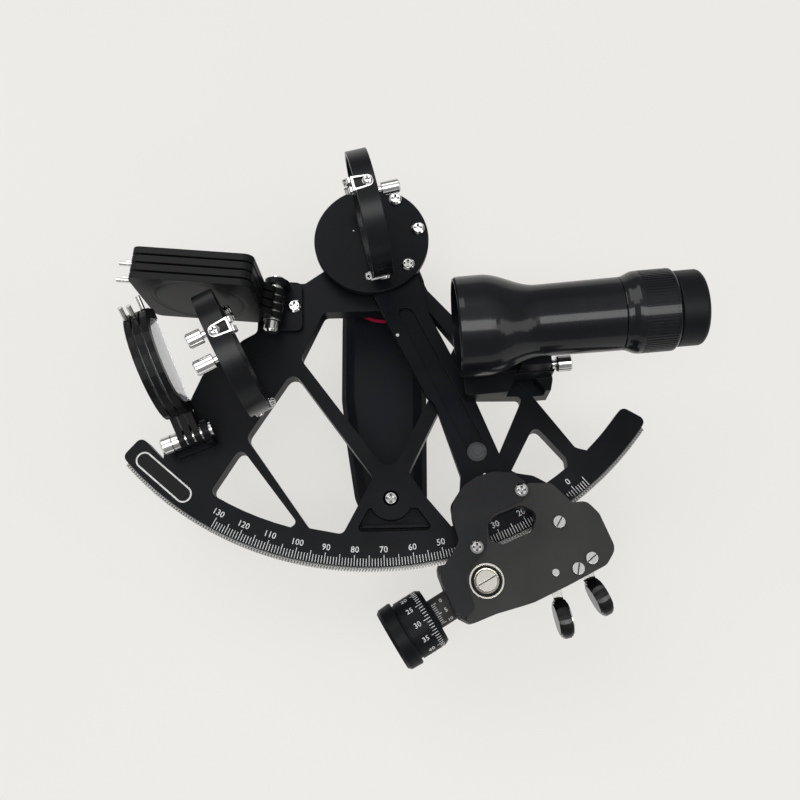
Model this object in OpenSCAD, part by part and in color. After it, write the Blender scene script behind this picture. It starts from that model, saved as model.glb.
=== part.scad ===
// A marine sextant lying on its legs, face up: millimetres, +Z up, +X to the right of the face.
// Plan outlines are drawn about the pivot of the index arm at a limb radius of 161.5, with the arm
// at a reading of 27 degrees, and then follow the limb radius and the reading that are set here.

/* [Overall] */
// Radius of the limb's outer edge
limb_r = 161.5; // [155:0.5:200]
// Height of the limb's face above the feet
stand_h = 64; // [58:1:80]
// Thickness of the frame casting
frame_t = 9; // [7:0.5:12]
// Height of the optical axis above the limb's face
optic_h = 40; // [38:0.5:50]
// Angle that the index arm shows at rest
reading = 27; // [10:1:60]
// Place of the pivot from the middle of the footprint, across
pivot_x = -16.1; // [-30:0.1:0]
// Place of the pivot from the middle of the footprint, along
pivot_y = 89.1; // [70:0.1:120]

/* [Arc] */
// Width of the limb
limb_w = 13; // [10:0.5:18]
// Width of the rack strip under the limb's edge
rack_w = 4; // [3:0.5:6]
// Thickness of the rack strip
rack_t = 5.6; // [4:0.1:7]
// Height of a rack tooth
tooth_h = 1.3; // [0.8:0.1:1.6]

/* [Pivot] */
// Radius of the tapered journal at the frame's face
journal_r = 7; // [5:0.5:9]
// Running clearance of the journal
journal_gap = 0.05; // [0.02:0.01:0.1]
// Wall of the pivot bush
bush_wall = 3; // [2:0.5:5]
// Depth of the boss behind the frame
boss_d = 12; // [8:1:15]

/* [Index arm] */
// Gap between the arm and the limb's face
arm_gap = 0.6; // [0.3:0.1:1.5]
// Thickness of the arm
arm_t = 5; // [4:0.5:7]
// Radius of the mirror table
table_r = 28.8; // [27:0.2:34]
// Thickness of the mirror table
table_t = 3.4; // [2.5:0.1:5]

/* [Mirrors] */
// Outer radius of a mirror ring
ring_r = 29.5; // [27:0.5:31]
// Width of a mirror ring
ring_w = 9.4; // [7:0.2:12]
// Radius of the mirror glass
mirror_r = 27.2; // [24:0.2:28]
// Thickness of the mirror glass
mirror_t = 3.2; // [2:0.2:5]

/* [Shades] */
// Thickness of an index shade's holder
ishade_t = 3.1; // [2.4:0.1:3.4]
// Distance from index shade to index shade on their hinge
ishade_pitch = 4.1; // [3.8:0.1:4.6]
// Thickness of a horizon shade's holder
hshade_t = 2.8; // [2.2:0.1:3]
// Distance from horizon shade to horizon shade on their hinge
hshade_pitch = 3.8; // [3.5:0.1:4.2]
// Radius of a shade glass
shade_r = 20.5; // [16:0.5:21.5]
// Radius of the shade hinge pins
shade_pin_r = 2; // [1.5:0.1:2.5]

/* [Telescope] */
// Outer radius of the objective hood
hood_r = 22.7; // [20:0.1:25]
// Outer radius of the tube
tube_r = 16.2; // [15:0.1:18]
// Outer radius of the focusing ring
focus_r = 18.6; // [18:0.1:22]
// Outer radius of the eyecup
eyecup_r = 17.1; // [16:0.1:21]
// Wall of the telescope tube
tube_wall = 2; // [1.5:0.1:3]

/* [Micrometer] */
// Radius of the graduated drum
drum_r = 14; // [12:0.5:16]
// Radius of the drum's knob
knob_r = 15.5; // [13:0.5:18]
// Radius of the vernier sleeve
sleeve_r = 7; // [6:0.2:8]
// Radius of the worm shaft
worm_shaft_r = 3; // [2.5:0.1:3.5]
// Height of the housing cover above the limb's face
cover_h = 11.6; // [10:0.2:14]

/* [Handle and legs] */
// Width of the grip
grip_w = 45; // [38:1:52]
// Gap between the frame and the grip
grip_gap = 20; // [19:0.5:26]
// Thickness of the grip
grip_t = 29; // [24:1:32]
// Radius of a leg
leg_r = 5; // [4:0.5:6.5]

/* [Hidden] */
$fn = 64;

// The drawings' own limb radius and reading, and the factor that fits plan outlines to the limb
drawn_limb_r = 161.5;
drawn_reading = 27;
plan = limb_r / drawn_limb_r;
hair = 0.01;

// Arc: a degree of reading is half a degree round the pivot
zero_angle = -52.5;
rack_in_r = limb_r - rack_w + 0.5;
rack_root_r = limb_r + 0.5;
rack_tip_r = rack_root_r + tooth_h;
rack_top = -2.6;
first_tooth = -36;
last_tooth = -136.5;
teeth = 201;

// Heights of the index arm's layers
arm_z = arm_gap;
table_z = arm_z + arm_t;
table_top = table_z + table_t;

// Mirrors: the horizon mirror's place and the directions of both mirror planes
horizon_x = -60.5 * plan;
horizon_y = -70.5 * plan;
horizon_dir = -63;
index_dir = horizon_dir - reading / 2;
index_ring_shift = 2.2;
mirror_seat = 1.2;
ring_bore = mirror_r - 2;
clip_w = 7;
clip_t = 0.7;

// Index shades: hinge place, direction of the plates and size of a square holder
ishade_x = -47;
ishade_z = 8.5;
ishade_y = -27.3;
ishade_dir = -4.8;
ishade_far = 59.5;
ishade_near = 4;
ishade_toe = 5.2;
ishade_top = 41.5;
ishade_out = 31.5;
ishade_up = 18.5;

// Horizon shades: hinge place, direction of the plates, and an arched holder with an open foot
hshade_x = -79.7;
hshade_y = -99.5;
hshade_z = 9;
hshade_dir = -68.3;
hshade_out = 31.5;
hshade_up = 21;
hshade_turn = -21;
hshade_foot = 16.5;
hshade_rim = 5;
hshade_pins = [168, 150, 152];

// Shared running clearances
running_gap = 0.05;
thread_gap = 0.06;
face_gap = 0.3;

// Telescope: its axis passes over this place at this angle, and stations along it from there
scope_x = 45 * plan;
scope_y = -58.7 * plan;
scope_dir = 4.8;
hood_start = -5;
hood_end = 15;
neck = 29;
tube_end = 68;
focus_start = 68.4;
knurl_start = 76.2;
knurl_count = 80;
focus_bore = 12;
lens_seat = 11;
focus_end = 91.6;
eye_end = 104.6;
bracket_top = 17.5;
arm_floor = 7.6;
groove_floor = 13.3;
rail_side = -11.5;
rail_w = 9;
clamp_z = 10.4;
clamp_r = 4.2;

// Worm: radius from the pivot and direction of its axis, its height, and stations along it
// measured from the carriage's pivot
worm_angle = -58.6;
worm_r_out = 8.1;
worm_axis_r = rack_tip_r + 0.2 + worm_r_out;
worm_z = -6.6;
carriage_back = 42.5;
worm_half = 7;
far_bearing = 52.8;
bearing_w = 4.5;
drum_near = -27.4;
drum_far = -41.2;
knob_far = -49.8;
sleeve_near = -17;
bearing_r = worm_shaft_r + running_gap;

// Release lever: its pin, seen in plan
lever_pin = [84, -165] * plan;
lever_pin_r = 1.6;

// Handle
grip_top = -frame_t - grip_gap;
grip_bottom = grip_top - grip_t;
grip_edge = 7;
cell_r = 7;
cell_l = 50;
lid_r = 17;
lid_at = [5, -10];
post_top = [12, 17.5];
post_low = [10, -129.4] * plan;

// Legs: the two lower ones stand under the limb's ends
leg_spots = [[-100, -119] * plan, [115, -102] * plan, [-13, 16]];
foot_h = 6;

function unit(v) = v / norm(v);

// Points of a corner q between p and s, rounded to radius r
function corner(p, q, s, r, n) =
    r == 0 ? [q] :
    let (a = unit(p - q))
    let (b = unit(s - q))
    let (half = acos(a * b) / 2)
    let (c = q + unit(a + b) * r / sin(half))
    let (u = q + a * r / tan(half) - c)
    let (w = q + b * r / tan(half) - c)
    let (t0 = atan2(u.y, u.x))
    let (d = atan2(w.y, w.x) - t0)
    let (turn = d > 180 ? d - 360 : d < -180 ? d + 360 : d)
    [for (i = [0:n]) c + r * [cos(t0 + turn * i / n), sin(t0 + turn * i / n)]];

// An outline of [x, y, corner radius] points as plain points
function rounded(pts, n = 4) =
    [for (i = [0:len(pts) - 1])
        let (p = pts[(i + len(pts) - 1) % len(pts)])
        let (q = pts[i])
        let (s = pts[(i + 1) % len(pts)])
        each corner([p.x, p.y], [q.x, q.y], [s.x, s.y], q.z, n)];

// Points of an arc about the pivot, in the form that rounded() takes
function arc_points(r, from, to, n) =
    [for (i = [0:n])
        let (t = from + (to - from) * i / n)
        [r * cos(t), r * sin(t), 0]];

// Everything is drawn about the pivot with the limb's face at zero, and placed by this
module placed() {
    translate([pivot_x, pivot_y, stand_h]) children();
}

// Turns what is drawn at the drawn reading to the reading that is set
module with_arm() {
    placed() rotate([0, 0, (drawn_reading - reading) / 2]) children();
}

// A slab from z0 to z1 over an outline
module slab(pts, z0, z1) {
    translate([0, 0, z0]) linear_extrude(z1 - z0) polygon(pts);
}

// A cylinder from z0 to z1 at a place in plan
module post(at, r, z0, z1) {
    translate([at.x, at.y, z0]) cylinder(h = z1 - z0, r = r);
}

// A cylinder lying along X from x0 to x1, or a cone when its second radius differs
module bar(x0, x1, r, r_end = undef) {
    translate([x0, 0, 0]) rotate([0, 90, 0])
        cylinder(h = x1 - x0, r1 = r, r2 = is_undef(r_end) ? r : r_end);
}

// A cylinder lying along Y, from y0 down to y1
module across(y0, y1, r) {
    translate([0, y0, 0]) rotate([90, 0, 0]) cylinder(h = y0 - y1, r = r);
}

// A cross-head screw standing on its seat, with its shank going down
module cross_screw(r, shank_r, shank_l) {
    difference() {
        union() {
            cylinder(h = r * 0.35, r = r);
            translate([0, 0, r * 0.35]) cylinder(h = r * 0.25, r1 = r, r2 = r * 0.7);
        }
        for (a = [0, 90]) {
            rotate([0, 0, a]) translate([-r * 0.62, -r * 0.17, r * 0.12]) cube([r * 1.24, r * 0.34, r]);
        }
    }
    translate([0, 0, -shank_l]) cylinder(h = shank_l + hair, r = shank_r);
}

// A slotted cheese-head screw standing on its seat
module slot_screw(r, shank_r, shank_l, turn = 30) {
    difference() {
        cylinder(h = r * 0.5, r = r);
        rotate([0, 0, turn]) translate([-r * 1.1, -r * 0.12, r * 0.25]) cube([r * 2.2, r * 0.24, r]);
    }
    translate([0, 0, -shank_l]) cylinder(h = shank_l + hair, r = shank_r);
}

// Plan of the whole frame with an outer edge of radius r: boss, right strut, limb and the left side
// with its two bracket lobes
limb_from = -34.7;
limb_to = -137.6;

function frame_plan(r) = rounded(plan * concat(
    arc_points(26, 208, -28, 24),
    [[28, -24, 4], [79.5, -81, 4], [98, -105.5, 4], [103.5, -106.8, 0]],
    arc_points(drawn_limb_r - limb_w / plan, -45.4, -36.4, 5),
    [[121.6, -85.3, 3], [r * cos(limb_from), r * sin(limb_from), 3]],
    arc_points(r, -36.2, -136, 60),
    [[r * cos(limb_to), r * sin(limb_to), 3], [-111, -99.4, 3]],
    arc_points(drawn_limb_r - limb_w / plan, -136.8, -132, 3),
    [[-99.5, -100.3, 3], [-84.3, -92.7, 3], [-88.3, -81, 3], [-83, -68, 4], [-64, -50, 5],
        [-57, -46, 3], [-57, -19, 3], [-34, -20, 3]]));

// Openings between the struts
hole_centre = plan * [[-24, -35.5, 3], [28, -34.5, 2], [42.1, -52.4, 3], [9.9, -119, 6], [-35, -60, 4]];
hole_left = plan * [[-38.5, -66, 4], [-60, -100, 4], [-28.5, -143.5, 3], [-12.5, -146.4, 3],
    [1.5, -119.5, 3]];
hole_far_left = plan * concat([[-34, -141, 2], [-62.5, -104.5, 3], [-76, -126.5, 3]],
    arc_points(147.8, -119.8, -104.5, 5));
hole_right = plan * concat([[18.4, -117.3, 2], [36.4, -80, 4], [74, -80, 2]],
    arc_points(147.8, -71.2, -75, 2), [[27, -129.5, 3]]);

// Blind pocket between the crossing struts and the limb, with a rib along its floor
pocket_d = 6.4;
pocket_boss_r = 10.3;
pocket = plan * [[-0.6, -134, 2], [22.6, -134, 2], [30.6, -144.6, 2], [-6.6, -145.4, 2]];
pocket_rib = plan * [[-3.6, -143.4], [27.6, -142.8], [26.6, -141.4], [-2.8, -142]];
hole_far_right = plan * concat([[79, -94, 3], [93.4, -110.5, 3]], arc_points(148.2, -50.7, -67.6, 6));

module frame_casting() {
    color("dimgray") placed() difference() {
        union() {
            // full width above the rack strip, stepped in beside and below it
            slab(frame_plan(drawn_limb_r), rack_top, 0);
            slab(frame_plan(rack_in_r / plan), -frame_t, rack_top + hair);
            post(post_low, 7, -frame_t, 0);
            post([0, 0], journal_r + bush_wall + 4, -frame_t - boss_d, 0);
        }
        for (h = [hole_centre, hole_left, hole_far_left, hole_right, hole_far_right]) {
            slab(rounded(h), -frame_t - 1, 1);
        }
        difference() {
            slab(rounded(pocket), -pocket_d, 1);
            post(post_low, pocket_boss_r, -pocket_d - 1, 2);
            slab(pocket_rib, -pocket_d - 1, -2.4);
        }
        // bores for the bush, the lower post's screw and the shade bracket's screw
        post(bracket_screw, 2, -5, 1);
        post([0, 0], journal_r + bush_wall, -frame_t - boss_d - 1, 1);
        post(post_low, 2.1, -frame_t - 1, 1);
        post(post_low, 3.7, -sunk, 1);
    }
}

// Teeth of the rack as the outer edge of a ring segment
rack_pitch = (first_tooth - last_tooth) / teeth;
worm_pitch = rack_root_r * rack_pitch * PI / 180;
rack_outline = concat(
    [for (i = [0:teeth - 1])
        for (k = [[0, rack_root_r], [0.3, rack_tip_r], [0.5, rack_tip_r], [0.8, rack_root_r]])
            let (t = first_tooth - rack_pitch * (i + k[0]))
            k[1] * [cos(t), sin(t)]],
    [for (i = [0:60])
        let (t = last_tooth + (first_tooth - last_tooth) * i / 60)
        (rack_in_r + 0.04) * [cos(t), sin(t)]]);

module arc_rack() {
    color("silver") placed() slab(rack_outline, rack_top - rack_t, rack_top);
}

module pivot_bush() {
    color("goldenrod") placed() difference() {
        post([0, 0], journal_r + bush_wall, -frame_t - boss_d, 0);
        post([0, 0], journal_r + journal_gap, -frame_t - boss_d - 1, 1);
    }
}

// Bare oval plate on the limb's left end
plate_l = 34.6;
plate_w = 8.6;
plate_angle = -129.6;
// the arm's end passes over the plate
plate_h = arm_gap / 2;

module nose_plate() {
    half = [plate_l, plate_w] / 2;
    end_r = plate_w / 2 - 0.1;
    color("black") placed() rotate([0, 0, plate_angle]) translate([limb_r - limb_w / 2 - 0.4, 0, 0])
        rotate([0, 0, 90]) difference() {
            slab(rounded([[-half.x, -half.y, end_r], [half.x, -half.y, end_r], [half.x, half.y, end_r],
                [-half.x, half.y, end_r]], 8), 0, plate_h);
            for (x = [-14.5, 14.5]) {
                translate([x, 0, -1]) cylinder(h = 3, r = 0.7);
            }
        }
}

// A leg tapers a little towards its foot
module legs() {
    color("dimgray") placed() for (p = leg_spots) {
        translate([p.x, p.y, -stand_h + foot_h])
            cylinder(h = stand_h - foot_h - frame_t, r1 = leg_r - 1, r2 = leg_r);
    }
}

module feet() {
    color("black") placed() for (p = leg_spots) {
        translate([p.x, p.y, -stand_h]) cylinder(h = foot_h, r1 = leg_r + 1.2, r2 = leg_r);
    }
}

// Plan of the grip and its body with eased edges
grip_x = 5;
grip_outline = [[grip_x - grip_w / 2, -34, 0], [grip_x + 0.4 - grip_w / 2, -72 * plan, 12],
    [-13.8, -98 * plan, 12], [-9.5, -124 * plan, 12], [-3.5, -139 * plan, 8], [20, -141 * plan, 10],
    [grip_x + grip_w / 2, -126 * plan, 14], [grip_x + grip_w / 2, -34, 0]];
grip_top_arc = concat(
    [for (i = [0:12]) [grip_x + grip_w / 2 * cos(15 * i), -10 + grip_w / 2 * sin(15 * i)]],
    [for (i = [0:8]) post_top + 6.5 * [cos(22.5 * i), sin(22.5 * i)]]);

module grip_layer(inset, z0, z1) {
    translate([0, 0, z0]) linear_extrude(z1 - z0) offset(delta = -inset) hull()
        polygon(concat(rounded(grip_outline), grip_top_arc));
}

module grip_body() {
    hull() {
        grip_layer(0, grip_bottom + grip_edge, grip_top - grip_edge + 2);
        grip_layer(grip_edge * 0.35, grip_bottom + grip_edge * 0.35, grip_top - grip_edge * 0.3);
        grip_layer(grip_edge, grip_bottom, grip_top);
    }
}

grip_mid = (grip_top + grip_bottom) / 2;

module grip_half(z0, z1) {
    difference() {
        intersection() {
            grip_body();
            translate([-60, -260, z0]) cube([150, 320, z1 - z0]);
        }
        // chambers for the two cells, and the lid's well
        for (x = [-4, 14]) {
            translate([x, -100, grip_mid]) rotate([-90, 0, 0]) cylinder(h = 68, r = cell_r + 0.8);
        }
        translate([-9, -38, grip_mid - cell_r - 1]) cube([28, 36, 2 * cell_r + 2]);
        post(lid_at, lid_r + thread_gap, grip_mid, grip_top + 1);
        for (p = [post_top, post_low]) {
            post(p, 2.1, grip_bottom - 1, grip_top + 1);
        }
    }
}

module handle_front() {
    color("#1c222b") placed() grip_half(grip_mid, grip_top + 1);
}

module handle_back() {
    color("#1c222b") placed() grip_half(grip_bottom - 1, grip_mid);
}

module handle_posts() {
    color("dimgray") placed() for (p = [post_top, post_low]) {
        difference() {
            post(p, 5, grip_top, -frame_t);
            post(p, 2.1, grip_top - 1, -frame_t + 1);
        }
    }
}

module handle_cells() {
    color("steelblue") placed() for (x = [-4, 14]) {
        translate([x, -98, grip_mid]) rotate([-90, 0, 0]) {
            cylinder(h = cell_l, r = cell_r);
            translate([0, 0, cell_l - hair]) cylinder(h = 1.2, r = 2.6);
        }
    }
}

module battery_lid() {
    color("dimgray") placed() difference() {
        post(lid_at, lid_r, grip_top - 6, grip_top + 0.8);
        translate([lid_at.x - 1.2, lid_at.y - 9, grip_top]) cube([2.4, 18, 2]);
    }
}

module lid_seal() {
    color("crimson") placed() difference() {
        post(lid_at, lid_r + 3.6, grip_top, grip_top + 1.5);
        post(lid_at, lid_r + 0.6, grip_top - 1, grip_top + 3);
    }
}

// Screws through the frame into the posts, and the one in the index shade bracket
module frame_screws() {
    color("silver") placed() {
        translate([post_low.x, post_low.y, -sunk]) cross_screw(3.6, 2, 34 - sunk);
        translate([bracket_screw.x, bracket_screw.y, 2.6]) cross_screw(3.4, 2, 7);
    }
}

// Frame of the index shades' hinge: X along the plates, Y along the hinge towards the pivot's side
module at_index_shades() {
    translate([ishade_x * plan, ishade_y * plan, ishade_z]) rotate([0, 0, ishade_dir]) children();
}

shade_ear = 3;
ishade_count = 4;
hshade_count = 3;
ishade_back = 2;
hshade_back = 1.2;
lug_r = 4.9;
finger_r = 1.1;
seam = 0.02;

// Near face of each holder, and the whole length of a stack
function ishade_at(i) = -(i - 1) * ishade_pitch - ishade_t;
function hshade_at(i) = -(i - 1) * hshade_pitch - hshade_t;
ishade_stack = ishade_count * ishade_pitch;
hshade_stack = hshade_count * hshade_pitch + 2.4;

module index_shade_bracket() {
    color("dimgray") placed() {
        difference() {
            union() {
                slab(rounded(plan * [[-53.5, -19.3, 3], [-35.2, -20.5, 3], [-34, -46, 3], [-54, -46, 3]]),
                    0, base_t);
                at_index_shades() {
                    translate([-6, ishade_back, base_t - ishade_z - hair])
                        cube([12, shade_ear, ishade_z - base_t]);
                    across(ishade_back + shade_ear, ishade_back, 6);
                }
            }
            at_index_shades() across(ishade_back + shade_ear + 1, ishade_back - 1, shade_pin_r);
            post(bracket_screw, 2, -1, 4);
        }
    }
}

bracket_screw = [-38.4, -33.4] * plan;
// Depth of the seat that keeps the lower post's screw clear of the index arm
sunk = 2.3;
base_t = 2.6;

// Hinge pin with a head behind the bracket and a chrome nut at its free end
module hinge_pin(back, stack, nut_r) {
    translate([0, back + shade_ear + 1.5, 0]) rotate([90, 0, 0]) {
        cylinder(h = 1.5, r = shade_pin_r + 1.6);
        cylinder(h = back + shade_ear + 1.5 + stack + 3, r = shade_pin_r);
        translate([0, 0, back + shade_ear + 1.7 + stack]) {
            cylinder(h = 4.4, r = nut_r);
            translate([0, 0, 4.4 - hair]) cylinder(h = 1, r1 = nut_r, r2 = nut_r - 0.9);
        }
    }
}

module shade_pins() {
    color("silver") placed() {
        at_index_shades() hinge_pin(ishade_back, ishade_stack, 3.6);
        at_horizon_shades() hinge_pin(hshade_back, hshade_stack, 4.4);
    }
}

// Spring washers between the shades, against the bracket's ear and under the nut
washer_slack = 0.07;

module washer(from, to, r) {
    translate([0, from - washer_slack, 0]) rotate([90, 0, 0]) difference() {
        cylinder(h = from - to - 2 * washer_slack, r = r);
        translate([0, 0, -1]) cylinder(h = from - to + 2, r = shade_pin_r);
    }
}

module shade_washers() {
    color("silver") placed() {
        at_index_shades() {
            washer(ishade_back, 0, 4.4);
            for (i = [1:ishade_count]) {
                washer(ishade_at(i), ishade_at(i) - ishade_pitch + ishade_t, 4.4);
            }
        }
        at_horizon_shades() {
            washer(hshade_back, 0, 4.2);
            for (i = [1:hshade_count - 1]) {
                washer(hshade_at(i), hshade_at(i) - hshade_pitch + hshade_t, 4.2);
            }
            washer(hshade_at(hshade_count), -hshade_stack, 4.2);
        }
    }
}

ishade_outline = rounded([[-ishade_far, -ishade_toe, 4], [0, -ishade_toe, 0], [3, 0, 0], [0, 7, 0],
    [-ishade_near, 10, 3], [-ishade_near, ishade_top, 4], [-ishade_far, ishade_top, 4]]);

// A square holder with its round glass let in flush and a finger pin at its far end
module square_shade(i) {
    at_index_shades() translate([0, ishade_at(i), 0]) rotate([90, 0, 0]) translate([0, 0, -ishade_t]) {
        difference() {
            union() {
                linear_extrude(ishade_t) polygon(ishade_outline);
                cylinder(h = ishade_t, r = lug_r);
            }
            translate([0, 0, -1]) cylinder(h = ishade_t + 2, r = shade_pin_r + running_gap);
            translate([-ishade_out, ishade_up, -1]) cylinder(h = ishade_t + 2, r = shade_r + 2);
        }
        translate([0, ishade_top - (i % 2 == 0 ? 8 : 15), ishade_t / 2])
            bar(-ishade_far - 7, -ishade_far + 1, finger_r);
        translate([-ishade_out, ishade_up, 0.1]) cylinder(h = ishade_t - 0.2, r = shade_r + 2 - seam);
    }
}

module index_shade_1() {
    color("#2a2c2e") placed() square_shade(1);
}

module index_shade_2() {
    color("#2a2c2e") placed() square_shade(2);
}

module index_shade_3() {
    color("#2a2c2e") placed() square_shade(3);
}

module index_shade_4() {
    color("#2a2c2e") placed() square_shade(4);
}

// Frame of the horizon mirror: X along its plane towards the limb, Y towards its silvered front
module at_horizon() {
    translate([horizon_x, horizon_y, 0]) rotate([0, 0, horizon_dir]) children();
}

// Frame of the horizon shades' hinge: X along the plates, Y along the hinge towards the mirror
module at_horizon_shades() {
    translate([hshade_x * plan, hshade_y * plan, hshade_z]) rotate([0, 0, hshade_dir]) children();
}

module horizon_shade_bracket() {
    color("dimgray") placed() difference() {
        union() {
            at_horizon_shades() translate([-5.5, hshade_back, -hshade_z]) cube([11.5, shade_ear, hshade_z]);
            at_horizon_shades() across(hshade_back + shade_ear, hshade_back, 5.5);
            at_horizon_shades() translate([-5, -hshade_stack - 1, -hshade_z])
                cube([11, hshade_stack + hshade_back + 2, 2.2]);
        }
        at_horizon_shades() across(hshade_back + shade_ear + 1, hshade_back - 1, shade_pin_r);
    }
}

// Outline of an arch of half width r over a straight foot, drawn about the arch's centre
function arch(r, foot) =
    concat([[-r, -foot], [r, -foot]], [for (i = [0:16]) r * [cos(11.25 * i), sin(11.25 * i)]]);

// Frame of one horizon shade: X and Y in its plate, Z through it
module at_plate(i) {
    at_horizon_shades() translate([0, hshade_at(i) + hshade_t, 0]) rotate([90, 0, 0]) children();
}

module at_arch(i) {
    at_plate(i) translate([-hshade_out, hshade_up, 0]) rotate([0, 0, hshade_turn]) children();
}

// An arched holder on a short arm, open along its foot, with a finger pin at its far side
module arched_shade(i) {
    outside_r = shade_r + hshade_rim;
    at_plate(i) difference() {
        union() {
            cylinder(h = hshade_t, r = 4.6);
            rotate([0, 0, atan2(hshade_up, -hshade_out) + 8]) translate([1, -4, 0])
                cube([14, 8, hshade_t]);
        }
        translate([0, 0, -1]) cylinder(h = hshade_t + 2, r = shade_pin_r + running_gap);
    }
    at_arch(i) {
        difference() {
            linear_extrude(hshade_t) polygon(arch(outside_r, hshade_foot));
            translate([0, 0, -1]) linear_extrude(hshade_t + 2) polygon(arch(shade_r, hshade_foot + 1));
        }
        rotate([0, 0, hshade_pins[i - 1]]) translate([0, 0, hshade_t / 2])
            bar(outside_r - 1, outside_r + 6.5, finger_r);
    }
}

module arched_glass(i) {
    at_arch(i) translate([0, 0, 0.5]) linear_extrude(hshade_t - 1)
        polygon(arch(shade_r - seam, hshade_foot));
}

module horizon_shade_1() {
    color("#2a2c2e") placed() arched_shade(1);
}

module horizon_shade_2() {
    color("#2a2c2e") placed() arched_shade(2);
}

module horizon_shade_3() {
    color("#2a2c2e") placed() arched_shade(3);
}

module horizon_shade_glass_1() {
    color("lightgray") placed() arched_glass(1);
}

module horizon_shade_glass_2() {
    color("lightgray") placed() arched_glass(2);
}

module horizon_shade_glass_3() {
    color("lightgray") placed() arched_glass(3);
}

// A mirror ring standing on a foot, drawn with its axis along Y and its front towards +Y; the wall
// behind the glass has an opening of radius hole, kept closed above screw_wall for the screws
screw_wall = 15;

module mirror_ring(foot_top, screw_spots, hole) {
    difference() {
        union() {
            translate([0, ring_w / 2, optic_h]) rotate([90, 0, 0]) cylinder(h = ring_w, r = ring_r);
            translate([-11, -ring_w / 2, foot_top])
                cube([22, ring_w - 2, optic_h - ring_r - foot_top + 2.2]);
        }
        translate([0, ring_w / 2 + 1, optic_h]) rotate([90, 0, 0]) cylinder(h = ring_w - 1.4, r = mirror_r);
        difference() {
            translate([0, 0, optic_h]) rotate([90, 0, 0]) cylinder(h = 20, r = hole);
            translate([-40, -30, optic_h + screw_wall]) cube([80, 40, 40]);
        }
        for (p = screw_spots) {
            translate([p.x, 0, optic_h + p.y]) rotate([90, 0, 0]) cylinder(h = 20, r = 1.5 + thread_gap);
        }
    }
}

module mirror_disc() {
    translate([0, 0, optic_h]) across(ring_w / 2 - mirror_seat, ring_w / 2 - mirror_seat - mirror_t,
        mirror_r - seam);
}

// Three spring clips screwed to the rim, their curled ends over the glass
clip_front = 1.3;
curl_r = 1.5;
clip_outline = rounded([[-clip_w / 2, ring_w / 2 + clip_front, 0], [clip_w / 2, ring_w / 2 + clip_front, 0],
    [2.6, -3.4, 2.4], [-2.6, -3.4, 2.4]], 6);
clip_opening = rounded([[0.9 - clip_w / 2, ring_w / 2 + 0.3, 0.6], [clip_w / 2 - 0.9, ring_w / 2 + 0.3, 0.6],
    [2, -2.7, 1.7], [-2, -2.7, 1.7]], 5);

module mirror_clips() {
    for (a = [90, 210, 330]) {
        translate([0, 0, optic_h]) rotate([0, 90 - a, 0]) translate([0, 0, ring_r]) {
            difference() {
                slab(clip_outline, 0, clip_t);
                slab(clip_opening, -1, clip_t + 1);
            }
            post([0, -1], 2.4, 0, clip_t);
            translate([0, -1, clip_t]) cross_screw(2.1, 0.9, clip_t);
            for (x = [-clip_w / 2, clip_w / 2 - 2.4]) {
                translate([x, ring_w / 2 + clip_front - clip_t, -3.2]) cube([2.4, clip_t, 3.2 + hair]);
            }
            for (x = [-clip_w / 2, clip_w / 2 - 2.4]) {
                translate([x, ring_w / 2 + clip_front + 0.6, -1.4]) rotate([0, 90, 0]) difference() {
                    cylinder(h = 2.4, r = curl_r);
                    translate([0, 0, -1]) cylinder(h = 5, r = curl_r - 0.7);
                }
            }
        }
    }
}

// An adjusting screw through the back of a ring to the glass, with its chrome cap outside
adjust_reach = 2.2;

module adjuster(p, cap_r, cap_l) {
    reach = ring_w / 2 + adjust_reach;
    translate([p.x, -reach, optic_h + p.y]) rotate([90, 0, 0]) {
        translate([0, 0, -reach]) cylinder(h = reach + 0.2, r = 1.5);
        cylinder(h = cap_l, r = cap_r);
        translate([0, 0, cap_l - hair]) cylinder(h = 0.6, r1 = cap_r, r2 = cap_r - 0.6);
    }
}

horizon_screws = [[-4, 22], [8, 20.5]];
index_screws = [[-0.6, 21]];

module horizon_mirror_ring() {
    color("#2b2e31") placed() at_horizon() {
        mirror_ring(0, horizon_screws, ring_bore);
    }
}

module horizon_mirror_glass() {
    color("lightblue") placed() at_horizon() mirror_disc();
}

module horizon_mirror_clips() {
    color("silver") placed() at_horizon() mirror_clips();
}

module horizon_adjuster_upper() {
    color("silver") placed() at_horizon() adjuster(horizon_screws[0], 3.3, 6);
}

module horizon_adjuster_lower() {
    color("silver") placed() at_horizon() adjuster(horizon_screws[1], 3.3, 8);
}

// Frame of the telescope: X along its axis towards the eye
module at_scope() {
    translate([scope_x, scope_y, optic_h]) rotate([0, 0, scope_dir]) children();
}

// Turns a profile of [along the axis, radius] points round the telescope's axis
module on_axis(pts) {
    rotate([0, 90, 0]) rotate_extrude() polygon([for (p = pts) [p[1], p[0]]]);
}

// Frame of the telescope's bracket: X along the telescope, Z from the limb's face
module at_bracket() {
    translate([scope_x, scope_y, 0]) rotate([0, 0, scope_dir]) children();
}

// A lug beside the strut, a column outside the index arm's sweep, and over the arm a body with the
// groove in which the telescope's foot slides
lug_outline = [[18.4, -6.5], [41, -6.5], [41, -19], [39.5, -24], [31.72, -24]];
column_outline = [[26.5, -6.5], [41, -6.5], [41, -19], [39.5, -24], [37.2, -24], [28.3, -10.5]];
body_outline = rounded([[-2, -25.5, 2], [17.8, -25.5, 2], [21, -21, 2], [21.5, -17.5, 1], [41, -17.5, 1],
    [41, -5.5, 1], [-2, -5.5, 2]]);

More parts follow.
